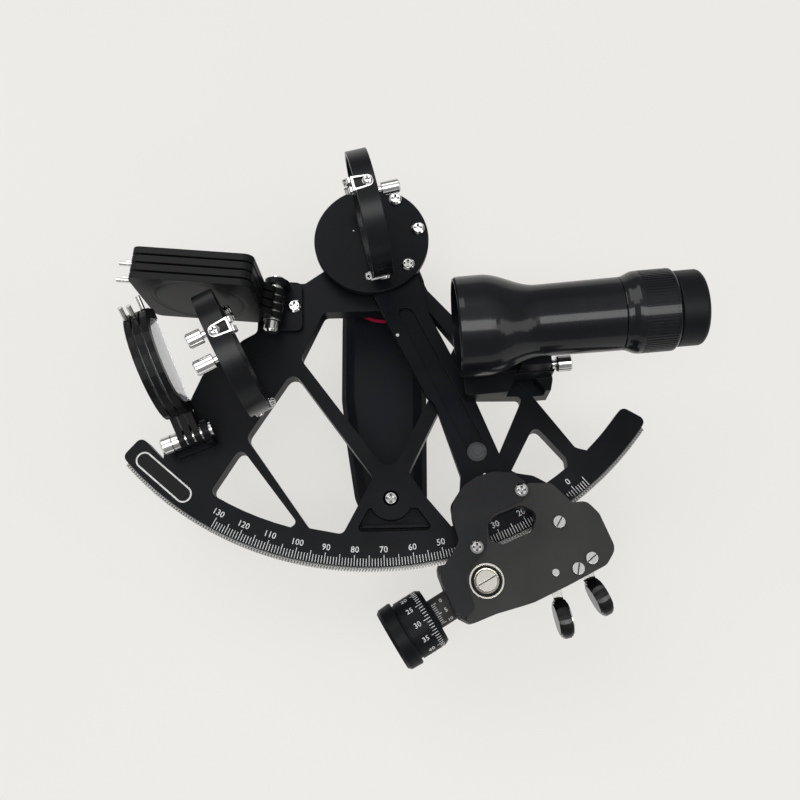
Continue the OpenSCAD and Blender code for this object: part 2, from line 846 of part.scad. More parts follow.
module telescope_bracket() {
    color("dimgray") placed() at_bracket() difference() {
        union() {
            slab(lug_outline, -frame_t, 0);
            slab(column_outline, -hair, arm_floor + 1);
            slab(body_outline, arm_floor, bracket_top);
        }
        translate([-3, rail_side - rail_w / 2 - running_gap, groove_floor])
            cube([50, rail_w + 2 * running_gap, bracket_top - groove_floor + 1]);
        translate([30, rail_side, clamp_z]) rotate([0, 90, 0]) cylinder(h = 20, r = 2 + thread_gap);
    }
}

module clamp_screw() {
    color("silver") placed() at_bracket() translate([0, rail_side, clamp_z]) rotate([0, 90, 0]) {
        translate([0, 0, 31]) cylinder(h = 13, r = 2);
        translate([0, 0, 43.2]) cylinder(h = 0.7, r1 = clamp_r - 0.7, r2 = clamp_r);
        translate([0, 0, 43.9 - hair]) cylinder(h = 6, r = clamp_r);
        translate([0, 0, 49.9 - 2 * hair]) cylinder(h = 0.7, r1 = clamp_r, r2 = clamp_r - 0.7);
    }
}

// Foot of the telescope: the rail that slides in the bracket and a saddle under the tube
module telescope_foot() {
    color("dimgray") placed() difference() {
        at_bracket() {
            translate([3, rail_side - rail_w / 2, groove_floor + running_gap])
                cube([31, rail_w, bracket_top - groove_floor + face_gap]);
            translate([24, rail_side - rail_w / 2 - 1, bracket_top + face_gap / 2])
                cube([14, rail_w + 4, optic_h - bracket_top - 4]);
        }
        at_scope() on_axis(tube_profile);
        at_bracket() translate([10, -40, optic_h - 11]) cube([50, 60, 30]);
    }
}

// Outside of the tube as [along the axis, radius] points: hood, neck and straight barrel
// Points of a smooth swelling from one radius to another along the axis
function swell(s0, r0, s1, r1, n) =
    [for (i = [0:n]) [s0 + (s1 - s0) * i / n, r0 + (r1 - r0) * (1 - cos(180 * i / n)) / 2]];

tube_profile = concat([[hood_start, 0], [hood_start, hood_r - 0.9], [hood_start + 0.8, hood_r - 0.2],
    [hood_start + 3, hood_r]], swell(hood_start + 12, hood_r, neck + 3, tube_r, 14),
    [[tube_end, tube_r + 0.3], [tube_end, 0]]);

module telescope_tube() {
    bore = tube_r - tube_wall;
    hood_bore = hood_r - tube_wall;
    color("#33363a") placed() at_scope() difference() {
        on_axis(tube_profile);
        on_axis([[hood_start - 1, 0], [hood_start - 1, hood_bore], [lens_seat, hood_bore],
            [lens_seat, hood_bore - 2], [neck, bore], [tube_end + 1, bore], [tube_end + 1, 0]]);
    }
}

module objective_lens() {
    rim = hood_r - tube_wall - 0.05;
    color("lightcyan") placed() at_scope()
        on_axis([[lens_seat - 4, 0], [lens_seat, 0], [lens_seat, rim], [lens_seat - 2.5, rim]]);
}

// Knurled focusing ring, turning on the eyepiece tube behind the telescope tube
module focus_ring() {
    bore = focus_bore + running_gap;
    color("#2c2e30") placed() at_scope() difference() {
        on_axis(concat([[focus_start, 0], [focus_start, tube_r + 0.1]],
            swell(focus_start + 0.4, tube_r + 0.3, knurl_start - 0.6, focus_r, 6),
            [[focus_end - 0.8, focus_r], [focus_end, focus_r - 0.7], [focus_end, 0]]));
        on_axis([[focus_start - 1, 0], [focus_start - 1, bore], [focus_end + 1, bore],
            [focus_end + 1, 0]]);
        for (i = [1:knurl_count]) {
            rotate([360 / knurl_count * i, 0, 0]) translate([knurl_start, -0.35, focus_r - 0.4])
                cube([focus_end - knurl_start - 1.6, 0.7, 1]);
        }
    }
}

module eyepiece_tube() {
    cup_start = focus_end + face_gap + 0.4;
    inner_r = focus_bore - 2;
    stop_r = focus_bore - 4;
    color("#2f3236") placed() at_scope() difference() {
        on_axis([[focus_start - 6, 0], [focus_start - 6, focus_bore], [cup_start, focus_bore],
            [cup_start, eyecup_r - 0.3], [cup_start + 0.5, eyecup_r], [eye_end - 1.8, eyecup_r],
            [eye_end - 0.9, eyecup_r - 0.4], [eye_end - 0.2, eyecup_r - 1.2], [eye_end, eyecup_r - 2],
            [eye_end, 0]]);
        on_axis([[focus_start - 7, 0], [focus_start - 7, inner_r], [focus_end + 4, inner_r],
            [focus_end + 4, stop_r], [eye_end - 3, stop_r], [eye_end + 1, focus_bore + 0.5],
            [eye_end + 1, 0]]);
    }
}

module eye_lens() {
    rim = focus_bore - 2.05;
    color("lightcyan") placed() at_scope()
        on_axis([[focus_end + 0.5, 0], [focus_end + 4, 0], [focus_end + 4, rim], [focus_end + 2, rim]]);
}

// Plan outlines of the index arm and of the micrometer, at the drawn reading
arm_outline = rounded(plan * concat(
    [[-2, -22.6, 0], [27.6, -81.8, 8], [31, -84.6, 8], [42.7, -120.1, 3], [42.2, -127, 4],
        [37.7, -134, 4], [38.6, -141.5, 3], [40.8, -148, 4], [39.4, -153.4, 3]],
    arc_points(161.2, -74, -52.2, 10),
    [[93.5, -130.5, 3], [83, -123.5, 5], [76.6, -120, 8], [66.5, -118.5, 8], [61.4, -110.2, 6],
        [50.6, -83.6, 10], [28.9, -39.2, 8], [22, -12, 0]]),
    5);
// Line between the two covers, from the index arm's root to the outer corner
divider = [[72.3, -124.5, 2], [71.2, -132.2, 4], [56.5, -138.6, 3], [53.3, -144, 3], [53.2, -154, 3],
    [47.5, -161, 5], [43, -166.5, 4], [47.2, -180, 2], [43.5, -184.6, 1]];
left_outline = rounded(plan * concat(
    [[43.8, -125.6, 4], [50, -121.6, 8], [57.5, -119.4, 10], [66.5, -119.8, 4]],
    divider,
    [[38.6, -182, 4], [34.8, -173, 4], [31.6, -165.5, 6], [37, -158, 5], [41.2, -151, 4], [38, -140, 5],
        [38.6, -133.5, 5]]));
housing_side = [[93, -133.6, 2], [99.5, -132.8, 5], [105, -138.5, 6], [111.5, -154.5, 6], [107, -161.6, 5],
    [90, -170.4, 10], [74, -178, 12], [58, -182.6, 10], [46.6, -187.2, 3]];
right_outline = rounded(plan * concat([[84, -124.5, 3]], housing_side,
    [for (i = [len(divider) - 1:-1:0]) divider[i]]));
window_outline = rounded(plan * [[54.2, -143.5, 2.5], [57.5, -139.5, 3], [70, -134.4, 4], [77.2, -138.5, 4],
    [74.5, -146.5, 4], [61, -152.4, 3], [54.8, -151, 3]]);
channel_outline = rounded([[11.8, -35.6, 3], [20, -35.6, 4], [54.6, -104.8, 4], [46.6, -109, 4]] * plan);

bush_spot = worm_axis_r * [cos(worm_angle), sin(worm_angle)]
    + carriage_back * [sin(worm_angle), -cos(worm_angle)];
lamp_spot = [50.6, -108.6] * plan;
cross_spots = [[69.9, -128.1] * plan, [49, -153.9] * plan];
slot_spots = [[86.6, -142.5] * plan, [100.4, -158.7] * plan, [94.1, -163.3] * plan];
table_spots = [[12.1, 22], [23.5, 5.5], [18.4, -14]];

module index_arm() {
    color("#2e3134") with_arm() difference() {
        union() {
            slab(arm_outline, arm_z, table_z);
            post([0, 0], table_r - 2.6, arm_z, table_z);
        }
        slab(channel_outline, table_z - 1.8, table_z + 1);
        slab(window_outline, arm_z - 1, table_z + 1);
        post([0, 0], journal_r - 1.5, arm_z - 1, table_z + 1);
        post(lamp_spot, 4.6, table_z - 2.6, table_z + 1);
        for (p = cross_spots) {
            post(p, 1.6, arm_z + 0.8, table_z + 1);
        }
        for (p = table_spots) {
            post(p, 1.8, arm_z + 0.6, table_z + 1);
        }
        post(slot_spots[0], 1.4, arm_z + 0.8, table_z + 1);
    }
}

module mirror_table() {
    color("#2e3134") with_arm() difference() {
        union() {
            post([0, 0], table_r, table_z, table_top - 0.5);
            translate([0, 0, table_top - 0.5 - hair]) cylinder(h = 0.5, r1 = table_r, r2 = table_r - 0.5);
        }
        for (p = table_spots) {
            post(p, 1.8, table_z - 1, table_top + 1);
        }
    }
}

// The journal is pressed into the arm and turns in the frame's bush
module pivot_journal() {
    color("silver") with_arm() {
        post([0, 0], journal_r - 1.5, arm_z - hair, table_z);
        post([0, 0], journal_r, -frame_t - boss_d - 0.2, arm_z);
        post([0, 0], 3, -frame_t - boss_d - 6.4, -frame_t - boss_d);
    }
}

module journal_nut() {
    color("silver") with_arm() difference() {
        union() {
            post([0, 0], journal_r + 1.8, -frame_t - boss_d - 1.4, -frame_t - boss_d - 0.2);
            translate([0, 0, -frame_t - boss_d - 5.4]) cylinder(h = 4.1, r = 6, $fn = 6);
        }
        post([0, 0], 3, -frame_t - boss_d - 8, -frame_t - boss_d + 1);
    }
}

// Frame of the index mirror: X along its plane towards the limb, Y towards its back
module at_index_mirror() {
    placed() rotate([0, 0, index_dir]) translate([index_ring_shift, 0, 0]) rotate([0, 0, 180]) children();
}

module index_mirror_ring() {
    color("#2b2e31") at_index_mirror() mirror_ring(table_top, index_screws, 11);
}

module index_mirror_glass() {
    color("lightblue") at_index_mirror() mirror_disc();
}

module index_mirror_clips() {
    color("silver") at_index_mirror() mirror_clips();
}

module index_adjuster() {
    color("silver") at_index_mirror() adjuster(index_screws[0], 3, 7.5);
}

left_top = cover_h + 1.4;

module arm_screws() {
    color("silver") with_arm() {
        for (p = table_spots) {
            translate([p.x, p.y, table_top]) cross_screw(3.3, 1.8, 6.5);
        }
        for (p = cross_spots) {
            translate([p.x, p.y, left_top]) cross_screw(3, 1.6, 8);
        }
        translate([slot_spots[0].x, slot_spots[0].y, cover_h]) slot_screw(2.7, 1.4, 8, 60);
        for (i = [1:2]) {
            translate([slot_spots[i].x, slot_spots[i].y, cover_h]) slot_screw(2.7, 1.4, 3.4, i * 40);
        }
        for (p = [[13.2, -50], [54, -119.6]]) {
            post(p * plan, 0.8, table_z, table_z + 0.4);
        }
        post(lever_pin, lever_pin_r, -3.9, cover_h + 0.5);
    }
}

// Round cap of the lamp that lights the scale
module scale_lamp() {
    color("gray") with_arm() translate([lamp_spot.x, lamp_spot.y, table_z - 2.6]) {
        cylinder(h = 3.4, r = 4.6);
        translate([0, 0, 3.4 - hair]) cylinder(h = 1.2, r1 = 4.6, r2 = 3);
        translate([0, 0, 4.5]) cylinder(h = 0.8, r = 2);
    }
}

// Frame of the worm: origin on the carriage's pivot at the shaft's height, X towards the worm
module at_worm() {
    with_arm() rotate([0, 0, worm_angle]) translate([worm_axis_r, -carriage_back, worm_z])
        rotate([0, 0, 90]) children();
}

housing_floor = -15.4;
housing_in_r = rack_tip_r + 1.3;

// Skirt of the housing beyond the limb, and the room inside it for the worm's carriage
skirt_outline = rounded(plan * concat([[93.2, -127, 0]], housing_side,
    [[41.4, -184.6, 2], [38.7, -182, 3], [34.9, -173, 4], [31.8, -164.6, 0], [31, -158, 0]]));
room_outline = rounded(plan * [[36.2, -165.2, 2], [37.6, -173, 3], [41.2, -181, 3], [44.3, -183.6, 2],
    [57.6, -180.2, 8], [73.2, -175.6, 10], [89, -168.2, 8], [104.9, -160.1, 3], [108.8, -154.2, 4],
    [103, -139.8, 4], [98.8, -135, 3], [90.5, -136.8, 2], [62, -154.6, 2], [40.2, -162.4, 2]]);
plate_t = 2.6;

module micrometer_housing() {
    color("#3a3d40") with_arm() difference() {
        union() {
            difference() {
                slab(skirt_outline, housing_floor, table_z);
                post([0, 0], housing_in_r, housing_floor - 1, table_z + 1, $fn = 360);
            }
            slab(right_outline, table_z, cover_h);
        }
        slab(window_outline, table_z - 1, cover_h + 1);
        slab(room_outline, housing_floor - 1, cover_h - plate_t);
        post(bush_spot, bush_r, cover_h - 3, cover_h + 1);
        rotate([0, 0, worm_angle]) translate([worm_axis_r, -carriage_back - 8, worm_z]) rotate([90, 0, 0])
            cylinder(h = 30, r = sleeve_r + 1.6);
        for (p = slot_spots) {
            post(p, 1.4, table_z - 1, cover_h + 1);
        }
        post(lever_pin, lever_pin_r, cover_h - 4, cover_h + 1);
        // slot for the two levers' stems
        translate([94 * plan, -170 * plan, -4.4]) rotate([0, 0, 27]) cube([30, 12, 8.6], center = true);
    }
}

module micrometer_cover() {
    color("#3f4245") with_arm() difference() {
        slab(left_outline, table_z, left_top);
        slab(window_outline, table_z - 1, left_top + 1);
        for (p = cross_spots) {
            post(p, 1.6, table_z - 1, left_top + 1);
        }
        post(bush_spot, bush_r + 0.5, table_z - 1, left_top + 1);
    }
}

module housing_base() {
    color("dimgray") with_arm() {
        difference() {
            slab(skirt_outline, housing_floor - 1.6, housing_floor);
            post([0, 0], housing_in_r, housing_floor - 3, housing_floor + 1, $fn = 360);
        }
        post(bush_spot, 2.5, housing_floor - hair, housing_floor + 4.2);
    }
}

// Chrome bush in the cover, whose trunnion carries the top of the carriage
bush_r = 7.8;
trunnion_r = 4;
trunnion_low = -1.5;

pivot_head_r = 0.72 * bush_r;

module carriage_pivot() {
    color("silver") with_arm() translate([bush_spot.x, bush_spot.y, 0]) {
        difference() {
            translate([0, 0, cover_h - 3]) cylinder(h = 3.8, r = bush_r);
            translate([0, 0, cover_h - 1.4]) cylinder(h = 3, r = bush_r - 0.7);
        }
        difference() {
            translate([0, 0, cover_h - 1.4 - hair]) {
                cylinder(h = 1.6, r = pivot_head_r);
                translate([0, 0, 1.6 - hair]) cylinder(h = 0.9, r1 = pivot_head_r, r2 = pivot_head_r - 1);
            }
            rotate([0, 0, 30]) translate([-bush_r, -0.35, cover_h + 0.5]) cube([2 * bush_r, 0.7, 2]);
        }
        translate([0, 0, trunnion_low]) cylinder(h = cover_h - 3 - trunnion_low + hair, r = trunnion_r);
    }
}

// A domed oval finger pad on the end of a stem, turned about its own middle
module finger_pad(at, turn) {
    translate([at.x, at.y, -2]) rotate([0, 0, turn]) rotate([90, 0, 0]) for (k = pad_layers) {
        translate([0, 0, k[0]]) linear_extrude(k[1] + hair)
            polygon([for (t = [0:12:348]) k[2] * [cos(t), 0.83 * sin(t)]]);
    }
}

pad_layers = [[-4.4, 0.6, 6.6], [-3.8, 0.7, 7.9], [-3.1, 0.8, 8.7], [-2.3, 2.6, 9.2], [0.3, 0.8, 8.9],
    [1.1, 0.7, 8.1], [1.8, 0.5, 7]];

fixed_pad = [104.6, -175.2] * plan;
moving_pad = [87.6, -184.6] * plan;

module fixed_lever() {
    color("silver") with_arm() {
        slab(rounded(plan * [[92.5, -160.5, 2], [101, -157.5, 2], [103, -162, 2], [105.5, -170, 1],
            [102.6, -172.4, 1], [97, -165.2, 1], [92, -164, 1]]), -3.6, -2.4);
        finger_pad(fixed_pad, -63);
    }
}

module release_lever() {
    color("silver") with_arm() {
        difference() {
            union() {
                post(lever_pin, 4, -3.6, -1.6);
                slab(rounded(plan * [[81.4, -164.6, 1], [86.8, -165.4, 1], [89.6, -179, 1],
                    [86, -180, 1]]), -3.6, -1.6);
            }
            post(lever_pin, lever_pin_r + running_gap, -5, 0);
        }
        finger_pad(moving_pad, -77);
    }
}

// Carriage: two bearings for the worm shaft joined by a bar on the side away from the limb, and the
// vernier sleeve in front of the drum
beam_y = -10.4;

module worm_carriage() {
    beam_end = far_bearing + bearing_w / 2;
    color("#3a3d40") at_worm() difference() {
        union() {
            translate([-7, -7, -6.8]) cube([14, 13.5, 12.6]);
            cylinder(h = cover_h - 3.2 - worm_z, r = 6.2);
            translate([far_bearing - bearing_w / 2, -9.6, -5]) cube([bearing_w, 13.6, 9.6]);
            translate([5, beam_y, -5]) cube([beam_end - 5, 1.6, 7.6]);
            translate([5, beam_y, -5]) cube([2, 6, 7.6]);
            bar(drum_near + face_gap, sleeve_near + face_gap, sleeve_r);
            bar(sleeve_near, -6, 5);
        }
        bar(drum_near - 1, beam_end + 5, bearing_r);
        translate([0, 0, trunnion_low - worm_z - face_gap]) cylinder(h = 30, r = trunnion_r + running_gap);
        translate([0, 0, -8]) cylinder(h = 3.8, r = 2.5 + running_gap);
    }
}

// Worm with one ring for each tooth space; it stops just clear of the rack
module worm_shaft() {
    color("goldenrod") at_worm() {
        bar(drum_far - 2, far_bearing + bearing_w / 2 + 0.6, worm_shaft_r);
        difference() {
            bar(carriage_back - worm_half, carriage_back + worm_half, worm_r_out);
            for (i = [-4:4]) {
                translate([carriage_back + i * worm_pitch, 0, 0]) rotate([0, 90, 0]) rotate_extrude()
                    polygon([[worm_r_out - tooth_h, -0.2], [worm_r_out + 0.4, -0.5],
                        [worm_r_out + 0.4, 0.5], [worm_r_out - tooth_h, 0.2]]);
            }
        }
    }
}

module drum() {
    color("#26282b") at_worm() difference() {
        union() {
            bar(drum_far, drum_near - 2.2, drum_r);
            bar(drum_near - 2.2 - hair, drum_near - hair, drum_r, drum_r - 1.2);
        }
        bar(drum_far - 1, drum_near + 1, worm_shaft_r);
    }
}

module drum_knob() {
    neck_start = drum_far - 1;
    color("#1e2022") at_worm() difference() {
        union() {
            bar(knob_far, knob_far + 1.5 + hair, knob_r - 1.6, knob_r - 0.3);
            bar(knob_far + 1.5, neck_start - 0.6, knob_r - 0.3, knob_r);
            bar(neck_start - 0.6 - hair, neck_start, knob_r, knob_r - 0.5);
            bar(neck_start - hair, drum_far, drum_r - 0.6);
        }
        bar(drum_far - 2, drum_far + 1, worm_shaft_r);
        bar(knob_far - 1, knob_far + 0.8, knob_r - 4);
    }
}

frame_casting();
arc_rack();
pivot_bush();
nose_plate();
legs();
feet();
handle_front();
handle_back();
handle_posts();
handle_cells();
battery_lid();
lid_seal();
frame_screws();
shade_pins();
shade_washers();
index_shade_bracket();
index_shade_1();
index_shade_2();
index_shade_3();
index_shade_4();
horizon_shade_bracket();
horizon_shade_1();
horizon_shade_2();
horizon_shade_3();
horizon_shade_glass_1();
horizon_shade_glass_2();
horizon_shade_glass_3();
horizon_mirror_ring();
horizon_mirror_glass();
horizon_mirror_clips();
horizon_adjuster_upper();
horizon_adjuster_lower();
telescope_bracket();
clamp_screw();
telescope_foot();
telescope_tube();
objective_lens();
focus_ring();
eyepiece_tube();
eye_lens();
index_arm();
mirror_table();
pivot_journal();
journal_nut();
index_mirror_ring();
index_mirror_glass();
index_mirror_clips();
index_adjuster();
arm_screws();
scale_lamp();
micrometer_housing();
micrometer_cover();
housing_base();
carriage_pivot();
fixed_lever();
release_lever();
worm_carriage();
worm_shaft();
drum();
drum_knob();
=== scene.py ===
import bpy
import math
import numpy as np
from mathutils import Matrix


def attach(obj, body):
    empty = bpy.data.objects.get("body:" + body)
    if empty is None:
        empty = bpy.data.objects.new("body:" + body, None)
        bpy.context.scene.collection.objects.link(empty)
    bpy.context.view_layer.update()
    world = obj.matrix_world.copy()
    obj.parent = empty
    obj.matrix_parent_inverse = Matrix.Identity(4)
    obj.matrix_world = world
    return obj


# Looks of a marine sextant lying face up on its legs.
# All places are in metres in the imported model's own frame. The plan of the instrument is easier to read
# about the pivot of the index arm, on the face of the limb, so sizes below are in millimetres from there.
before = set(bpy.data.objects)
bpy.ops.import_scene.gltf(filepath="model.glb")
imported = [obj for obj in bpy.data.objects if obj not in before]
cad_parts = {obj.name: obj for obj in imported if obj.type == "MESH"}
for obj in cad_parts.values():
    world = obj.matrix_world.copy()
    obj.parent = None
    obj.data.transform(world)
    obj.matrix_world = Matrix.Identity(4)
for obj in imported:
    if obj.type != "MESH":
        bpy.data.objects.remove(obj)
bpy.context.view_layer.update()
print("frame loaded:", len(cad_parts), "nodes")

mm = 0.001
pivotPlace = np.array([-16.1, 89.1, 64.0])          # the pivot on the limb's face, in the frame's millimetres


def turned(degrees):
    # a turn about the upright axis, as a 3 by 3 matrix
    c, s = math.cos(math.radians(degrees)), math.sin(math.radians(degrees))
    return np.array([[c, -s, 0.0], [s, c, 0.0], [0.0, 0.0, 1.0]])


def fromPivot(points):
    # points in millimetres about the pivot, as metres in the model's frame
    return (np.asarray(points, float) + pivotPlace) * mm


def fromWorm(points):
    # points along the worm: x along its shaft towards the worm, z up, origin over the carriage's pivot
    worm = dict(angle=-58.6, radius=171.6, back=42.5, height=-6.6)
    home = turned(worm["angle"]) @ np.array([worm["radius"], -worm["back"], 0.0])
    home[2] = worm["height"]
    return fromPivot(np.asarray(points, float) @ turned(worm["angle"] + 90).T + home)


def meshPiece(name, corners, faces, body, material):
    # a piece of the given points and faces, riding on a body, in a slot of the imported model
    mesh = bpy.data.meshes.new(name)
    mesh.from_pydata(np.asarray(corners, float).tolist(), [], [list(map(int, f)) for f in faces])
    mesh.update()
    piece = bpy.data.objects.new(name, mesh)
    bpy.context.scene.collection.objects.link(piece)
    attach(piece, body)
    piece.data.materials.append(material)
    return piece


def strokes(starts, ends, widths, ups, rise, sink):
    # One thin block for each painted line: from start to end, as wide as its width, standing from sink
    # under the surface to rise over it. The eight corners are start or end, plus or minus half the
    # width sideways, plus or minus the height along the surface's normal.
    starts, ends, ups = (np.asarray(a, float) for a in (starts, ends, ups))
    along = ends - starts
    along /= np.linalg.norm(along, axis=1, keepdims=True)
    side = np.cross(ups, along) * np.asarray(widths, float)[:, None] / 2
    corners = np.stack([base + sign * side + high * ups
                        for high in (-sink, rise)
                        for base, sign in ((starts, -1), (ends, -1), (ends, 1), (starts, 1))], axis=1)
    block = np.array([[3, 2, 1, 0], [4, 5, 6, 7], [0, 1, 5, 4], [1, 2, 6, 5], [2, 3, 7, 6], [3, 0, 4, 7]])
    faces = (block[None] + 8 * np.arange(len(starts))[:, None, None]).reshape(-1, 4)
    return corners.reshape(-1, 3), faces


def numeral(text, height, thickness, heavy=0.0):
    # the outline of a number as points and faces: x along the line of writing, y up, z the thickness
    digit = dict(heightShare=0.73, stretch=0.98, curveSteps=2)
    curve = bpy.data.curves.new("numeral", "FONT")
    curve.body = text
    curve.size = height / digit["heightShare"]
    curve.extrude = thickness / 2
    curve.offset = heavy
    curve.resolution_u = digit["curveSteps"]
    carrier = bpy.data.objects.new("numeral", curve)
    bpy.context.scene.collection.objects.link(carrier)
    seen = carrier.evaluated_get(bpy.context.evaluated_depsgraph_get())
    mesh = bpy.data.meshes.new_from_object(seen)
    points = np.zeros(len(mesh.vertices) * 3)
    mesh.vertices.foreach_get("co", points)
    points = points.reshape(-1, 3)
    faces = [list(p.vertices) for p in mesh.polygons]
    bpy.data.objects.remove(carrier)
    bpy.data.curves.remove(curve)
    bpy.data.meshes.remove(mesh)
    middle = (points.min(0) + points.max(0)) / 2
    return (points - middle) * np.array([digit["stretch"], 1.0, 1.0]), faces


def joined(parts):
    # several lots of points and faces as one
    corners, faces, count = [], [], 0
    for points, polygons in parts:
        corners.append(np.asarray(points, float))
        faces.extend([[int(i) + count for i in f] for f in polygons])
        count += len(points)
    return np.concatenate(corners), faces


def carried(path, profile, ups):
    # A closed profile carried round a closed path: at each point of the path the profile's first number
    # goes sideways and its second along the normal.
    path, profile, ups = (np.asarray(a, float) for a in (path, profile, ups))
    along = np.roll(path, -1, 0) - np.roll(path, 1, 0)
    along /= np.linalg.norm(along, axis=1, keepdims=True)
    side = np.cross(along, ups)
    corners = path[:, None] + profile[None, :, :1] * side[:, None] + profile[None, :, 1:] * ups[:, None]
    n, m = len(path), len(profile)
    i, j = np.meshgrid(np.arange(n), np.arange(m), indexing="ij")
    iNext, jNext = (i + 1) % n, (j + 1) % m
    faces = np.stack([i * m + j, i * m + jNext, iNext * m + jNext, iNext * m + j], axis=-1).reshape(-1, 4)
    return corners.reshape(-1, 3), faces


def groupOf(name, inputs, outputs):
    group = bpy.data.node_groups.new(name, "ShaderNodeTree")
    for socketName, kind, value in inputs:
        socket = group.interface.new_socket(name=socketName, in_out="INPUT", socket_type=kind)
        socket.default_value = value
    for socketName, kind in outputs:
        group.interface.new_socket(name=socketName, in_out="OUTPUT", socket_type=kind)
    return group, group.nodes.new("NodeGroupInput"), group.nodes.new("NodeGroupOutput")


def addNode(tree, kind, links=None, **settings):
    # a node with its settings, and what feeds each of its inputs: an output, or a plain value
    node = tree.nodes.new(kind)
    for key, value in settings.items():
        setattr(node, key, value)
    for key, value in (links or {}).items():
        if isinstance(value, bpy.types.NodeSocket):
            tree.links.new(value, node.inputs[key])
        else:
            node.inputs[key].default_value = value
    return node


def maths(tree, operation, a, b=0.0, clamp=False):
    return addNode(tree, "ShaderNodeMath", {0: a, 1: b}, operation=operation, use_clamp=clamp).outputs[0]


def spread(tree, value, low, high, newLow=0.0, newHigh=1.0):
    return addNode(tree, "ShaderNodeMapRange", {"Value": value, "From Min": low, "From Max": high,
                                                "To Min": newLow, "To Max": newHigh}).outputs[0]


def noiseOf(tree, vector, scale, detail=2.0, rough=0.5):
    return addNode(tree, "ShaderNodeTexNoise", {"Vector": vector, "Scale": scale, "Detail": detail,
                                                "Roughness": rough}).outputs["Fac"]


def blendColour(tree, amount, first, second):
    node = tree.nodes.new("ShaderNodeMix")
    node.data_type = "RGBA"
    for key, value in ((0, amount), (6, first), (7, second)):
        if isinstance(value, bpy.types.NodeSocket):
            tree.links.new(value, node.inputs[key])
        else:
            node.inputs[key].default_value = (*value, 1.0) if key else value
    return node.outputs[2]


def ownPlace(tree):
    # where a point lies on its piece, in the piece's own coordinates
    return addNode(tree, "ShaderNodeTexCoord").outputs["Object"]


def cellsOf(tree, vector, scale):
    return addNode(tree, "ShaderNodeTexVoronoi", {"Vector": vector, "Scale": scale}).outputs["Distance"]


def dotOf(tree, first, second):
    node = addNode(tree, "ShaderNodeVectorMath", {0: first, 1: second}, operation="DOT_PRODUCT")
    return node.outputs["Value"]


def nearTo(tree, value, centre, half, soft):
    # 1 where the value lies within half of the centre, falling to 0 over the soft edge
    off = maths(tree, "ABSOLUTE", maths(tree, "SUBTRACT", value, centre))
    return spread(tree, off, half, half - soft)


def makeEdgeWear():
    # How far the surface turns within the given radius, broken up by noise: 1 on a rubbed corner, 0 on a
    # flat. The rounded normal takes the sharpness off every corner.
    wear = dict(flat=0.985, corner=0.80, patchNoise=(260.0, 4.0, 0.6), patchBand=(0.42, 0.62),
                leastPatch=0.25)
    group, source, result = groupOf("edgeWear",
        [("Radius", "NodeSocketFloat", 0.0005), ("Amount", "NodeSocketFloat", 0.6)],
        [("Mask", "NodeSocketFloat"), ("Normal", "NodeSocketVector")])
    rounded = addNode(group, "ShaderNodeBevel", {"Radius": source.outputs["Radius"]}, samples=4).outputs[0]
    flat = addNode(group, "ShaderNodeNewGeometry").outputs["Normal"]
    corner = spread(group, dotOf(group, rounded, flat), wear["flat"], wear["corner"])
    patches = spread(group, noiseOf(group, ownPlace(group), *wear["patchNoise"]), *wear["patchBand"],
                     wear["leastPatch"], 1.0)
    mask = maths(group, "MULTIPLY", maths(group, "MULTIPLY", corner, patches), source.outputs["Amount"], True)
    group.links.new(mask, result.inputs["Mask"])
    group.links.new(rounded, result.inputs["Normal"])
    return group


def makeEnamelGrain():
    # Sprayed enamel: a fine orange peel for the height, a slow cloud for unevenness and handling marks, and
    # specks of dust where the cloud is thick.
    peelNoise, cloudNoise = (3.0, 0.55), (5.0, 0.6)
    dusty = dict(scale=420.0, wide=0.07, full=0.03, cloudBand=(0.5, 0.7))
    group, source, result = groupOf("enamelGrain",
        [("Scale", "NodeSocketFloat", 900.0), ("Cloud", "NodeSocketFloat", 24.0)],
        [("Height", "NodeSocketFloat"), ("Cloud", "NodeSocketFloat"), ("Dust", "NodeSocketFloat")])
    place = ownPlace(group)
    fine = noiseOf(group, place, source.outputs["Scale"], *peelNoise)
    slow = noiseOf(group, place, source.outputs["Cloud"], *cloudNoise)
    specks = spread(group, cellsOf(group, place, dusty["scale"]), dusty["wide"], dusty["full"])
    dust = maths(group, "MULTIPLY", specks, spread(group, slow, *dusty["cloudBand"]))
    group.links.new(fine, result.inputs["Height"])
    group.links.new(slow, result.inputs["Cloud"])
    group.links.new(dust, result.inputs["Dust"])
    return group


def makeTurnedMarks():
    # Fine marks round turned metal, which are noise squeezed along the upright axis, and a slow smear.
    marks = dict(squeeze=7.0, lineNoise=(3.0, 0.6), smearNoise=(120.0, 4.0, 0.6), smearBand=(0.35, 0.75))
    group, source, result = groupOf("turnedMarks",
        [("Scale", "NodeSocketFloat", 500.0)],
        [("Height", "NodeSocketFloat"), ("Smear", "NodeSocketFloat")])
    place = ownPlace(group)
    squeezed = addNode(group, "ShaderNodeMapping",
                       {"Vector": place, "Scale": (1.0, 1.0, marks["squeeze"])}).outputs[0]
    lines = noiseOf(group, squeezed, source.outputs["Scale"], *marks["lineNoise"])
    smear = spread(group, noiseOf(group, place, *marks["smearNoise"]), *marks["smearBand"])
    group.links.new(lines, result.inputs["Height"])
    group.links.new(smear, result.inputs["Smear"])
    return group


edgeWear, enamelGrain, turnedMarks = makeEdgeWear(), makeEnamelGrain(), makeTurnedMarks()


def placed(tree, group, **values):
    node = tree.nodes.new("ShaderNodeGroup")
    node.node_tree = group
    for key, value in values.items():
        node.inputs[key].default_value = value
    return node


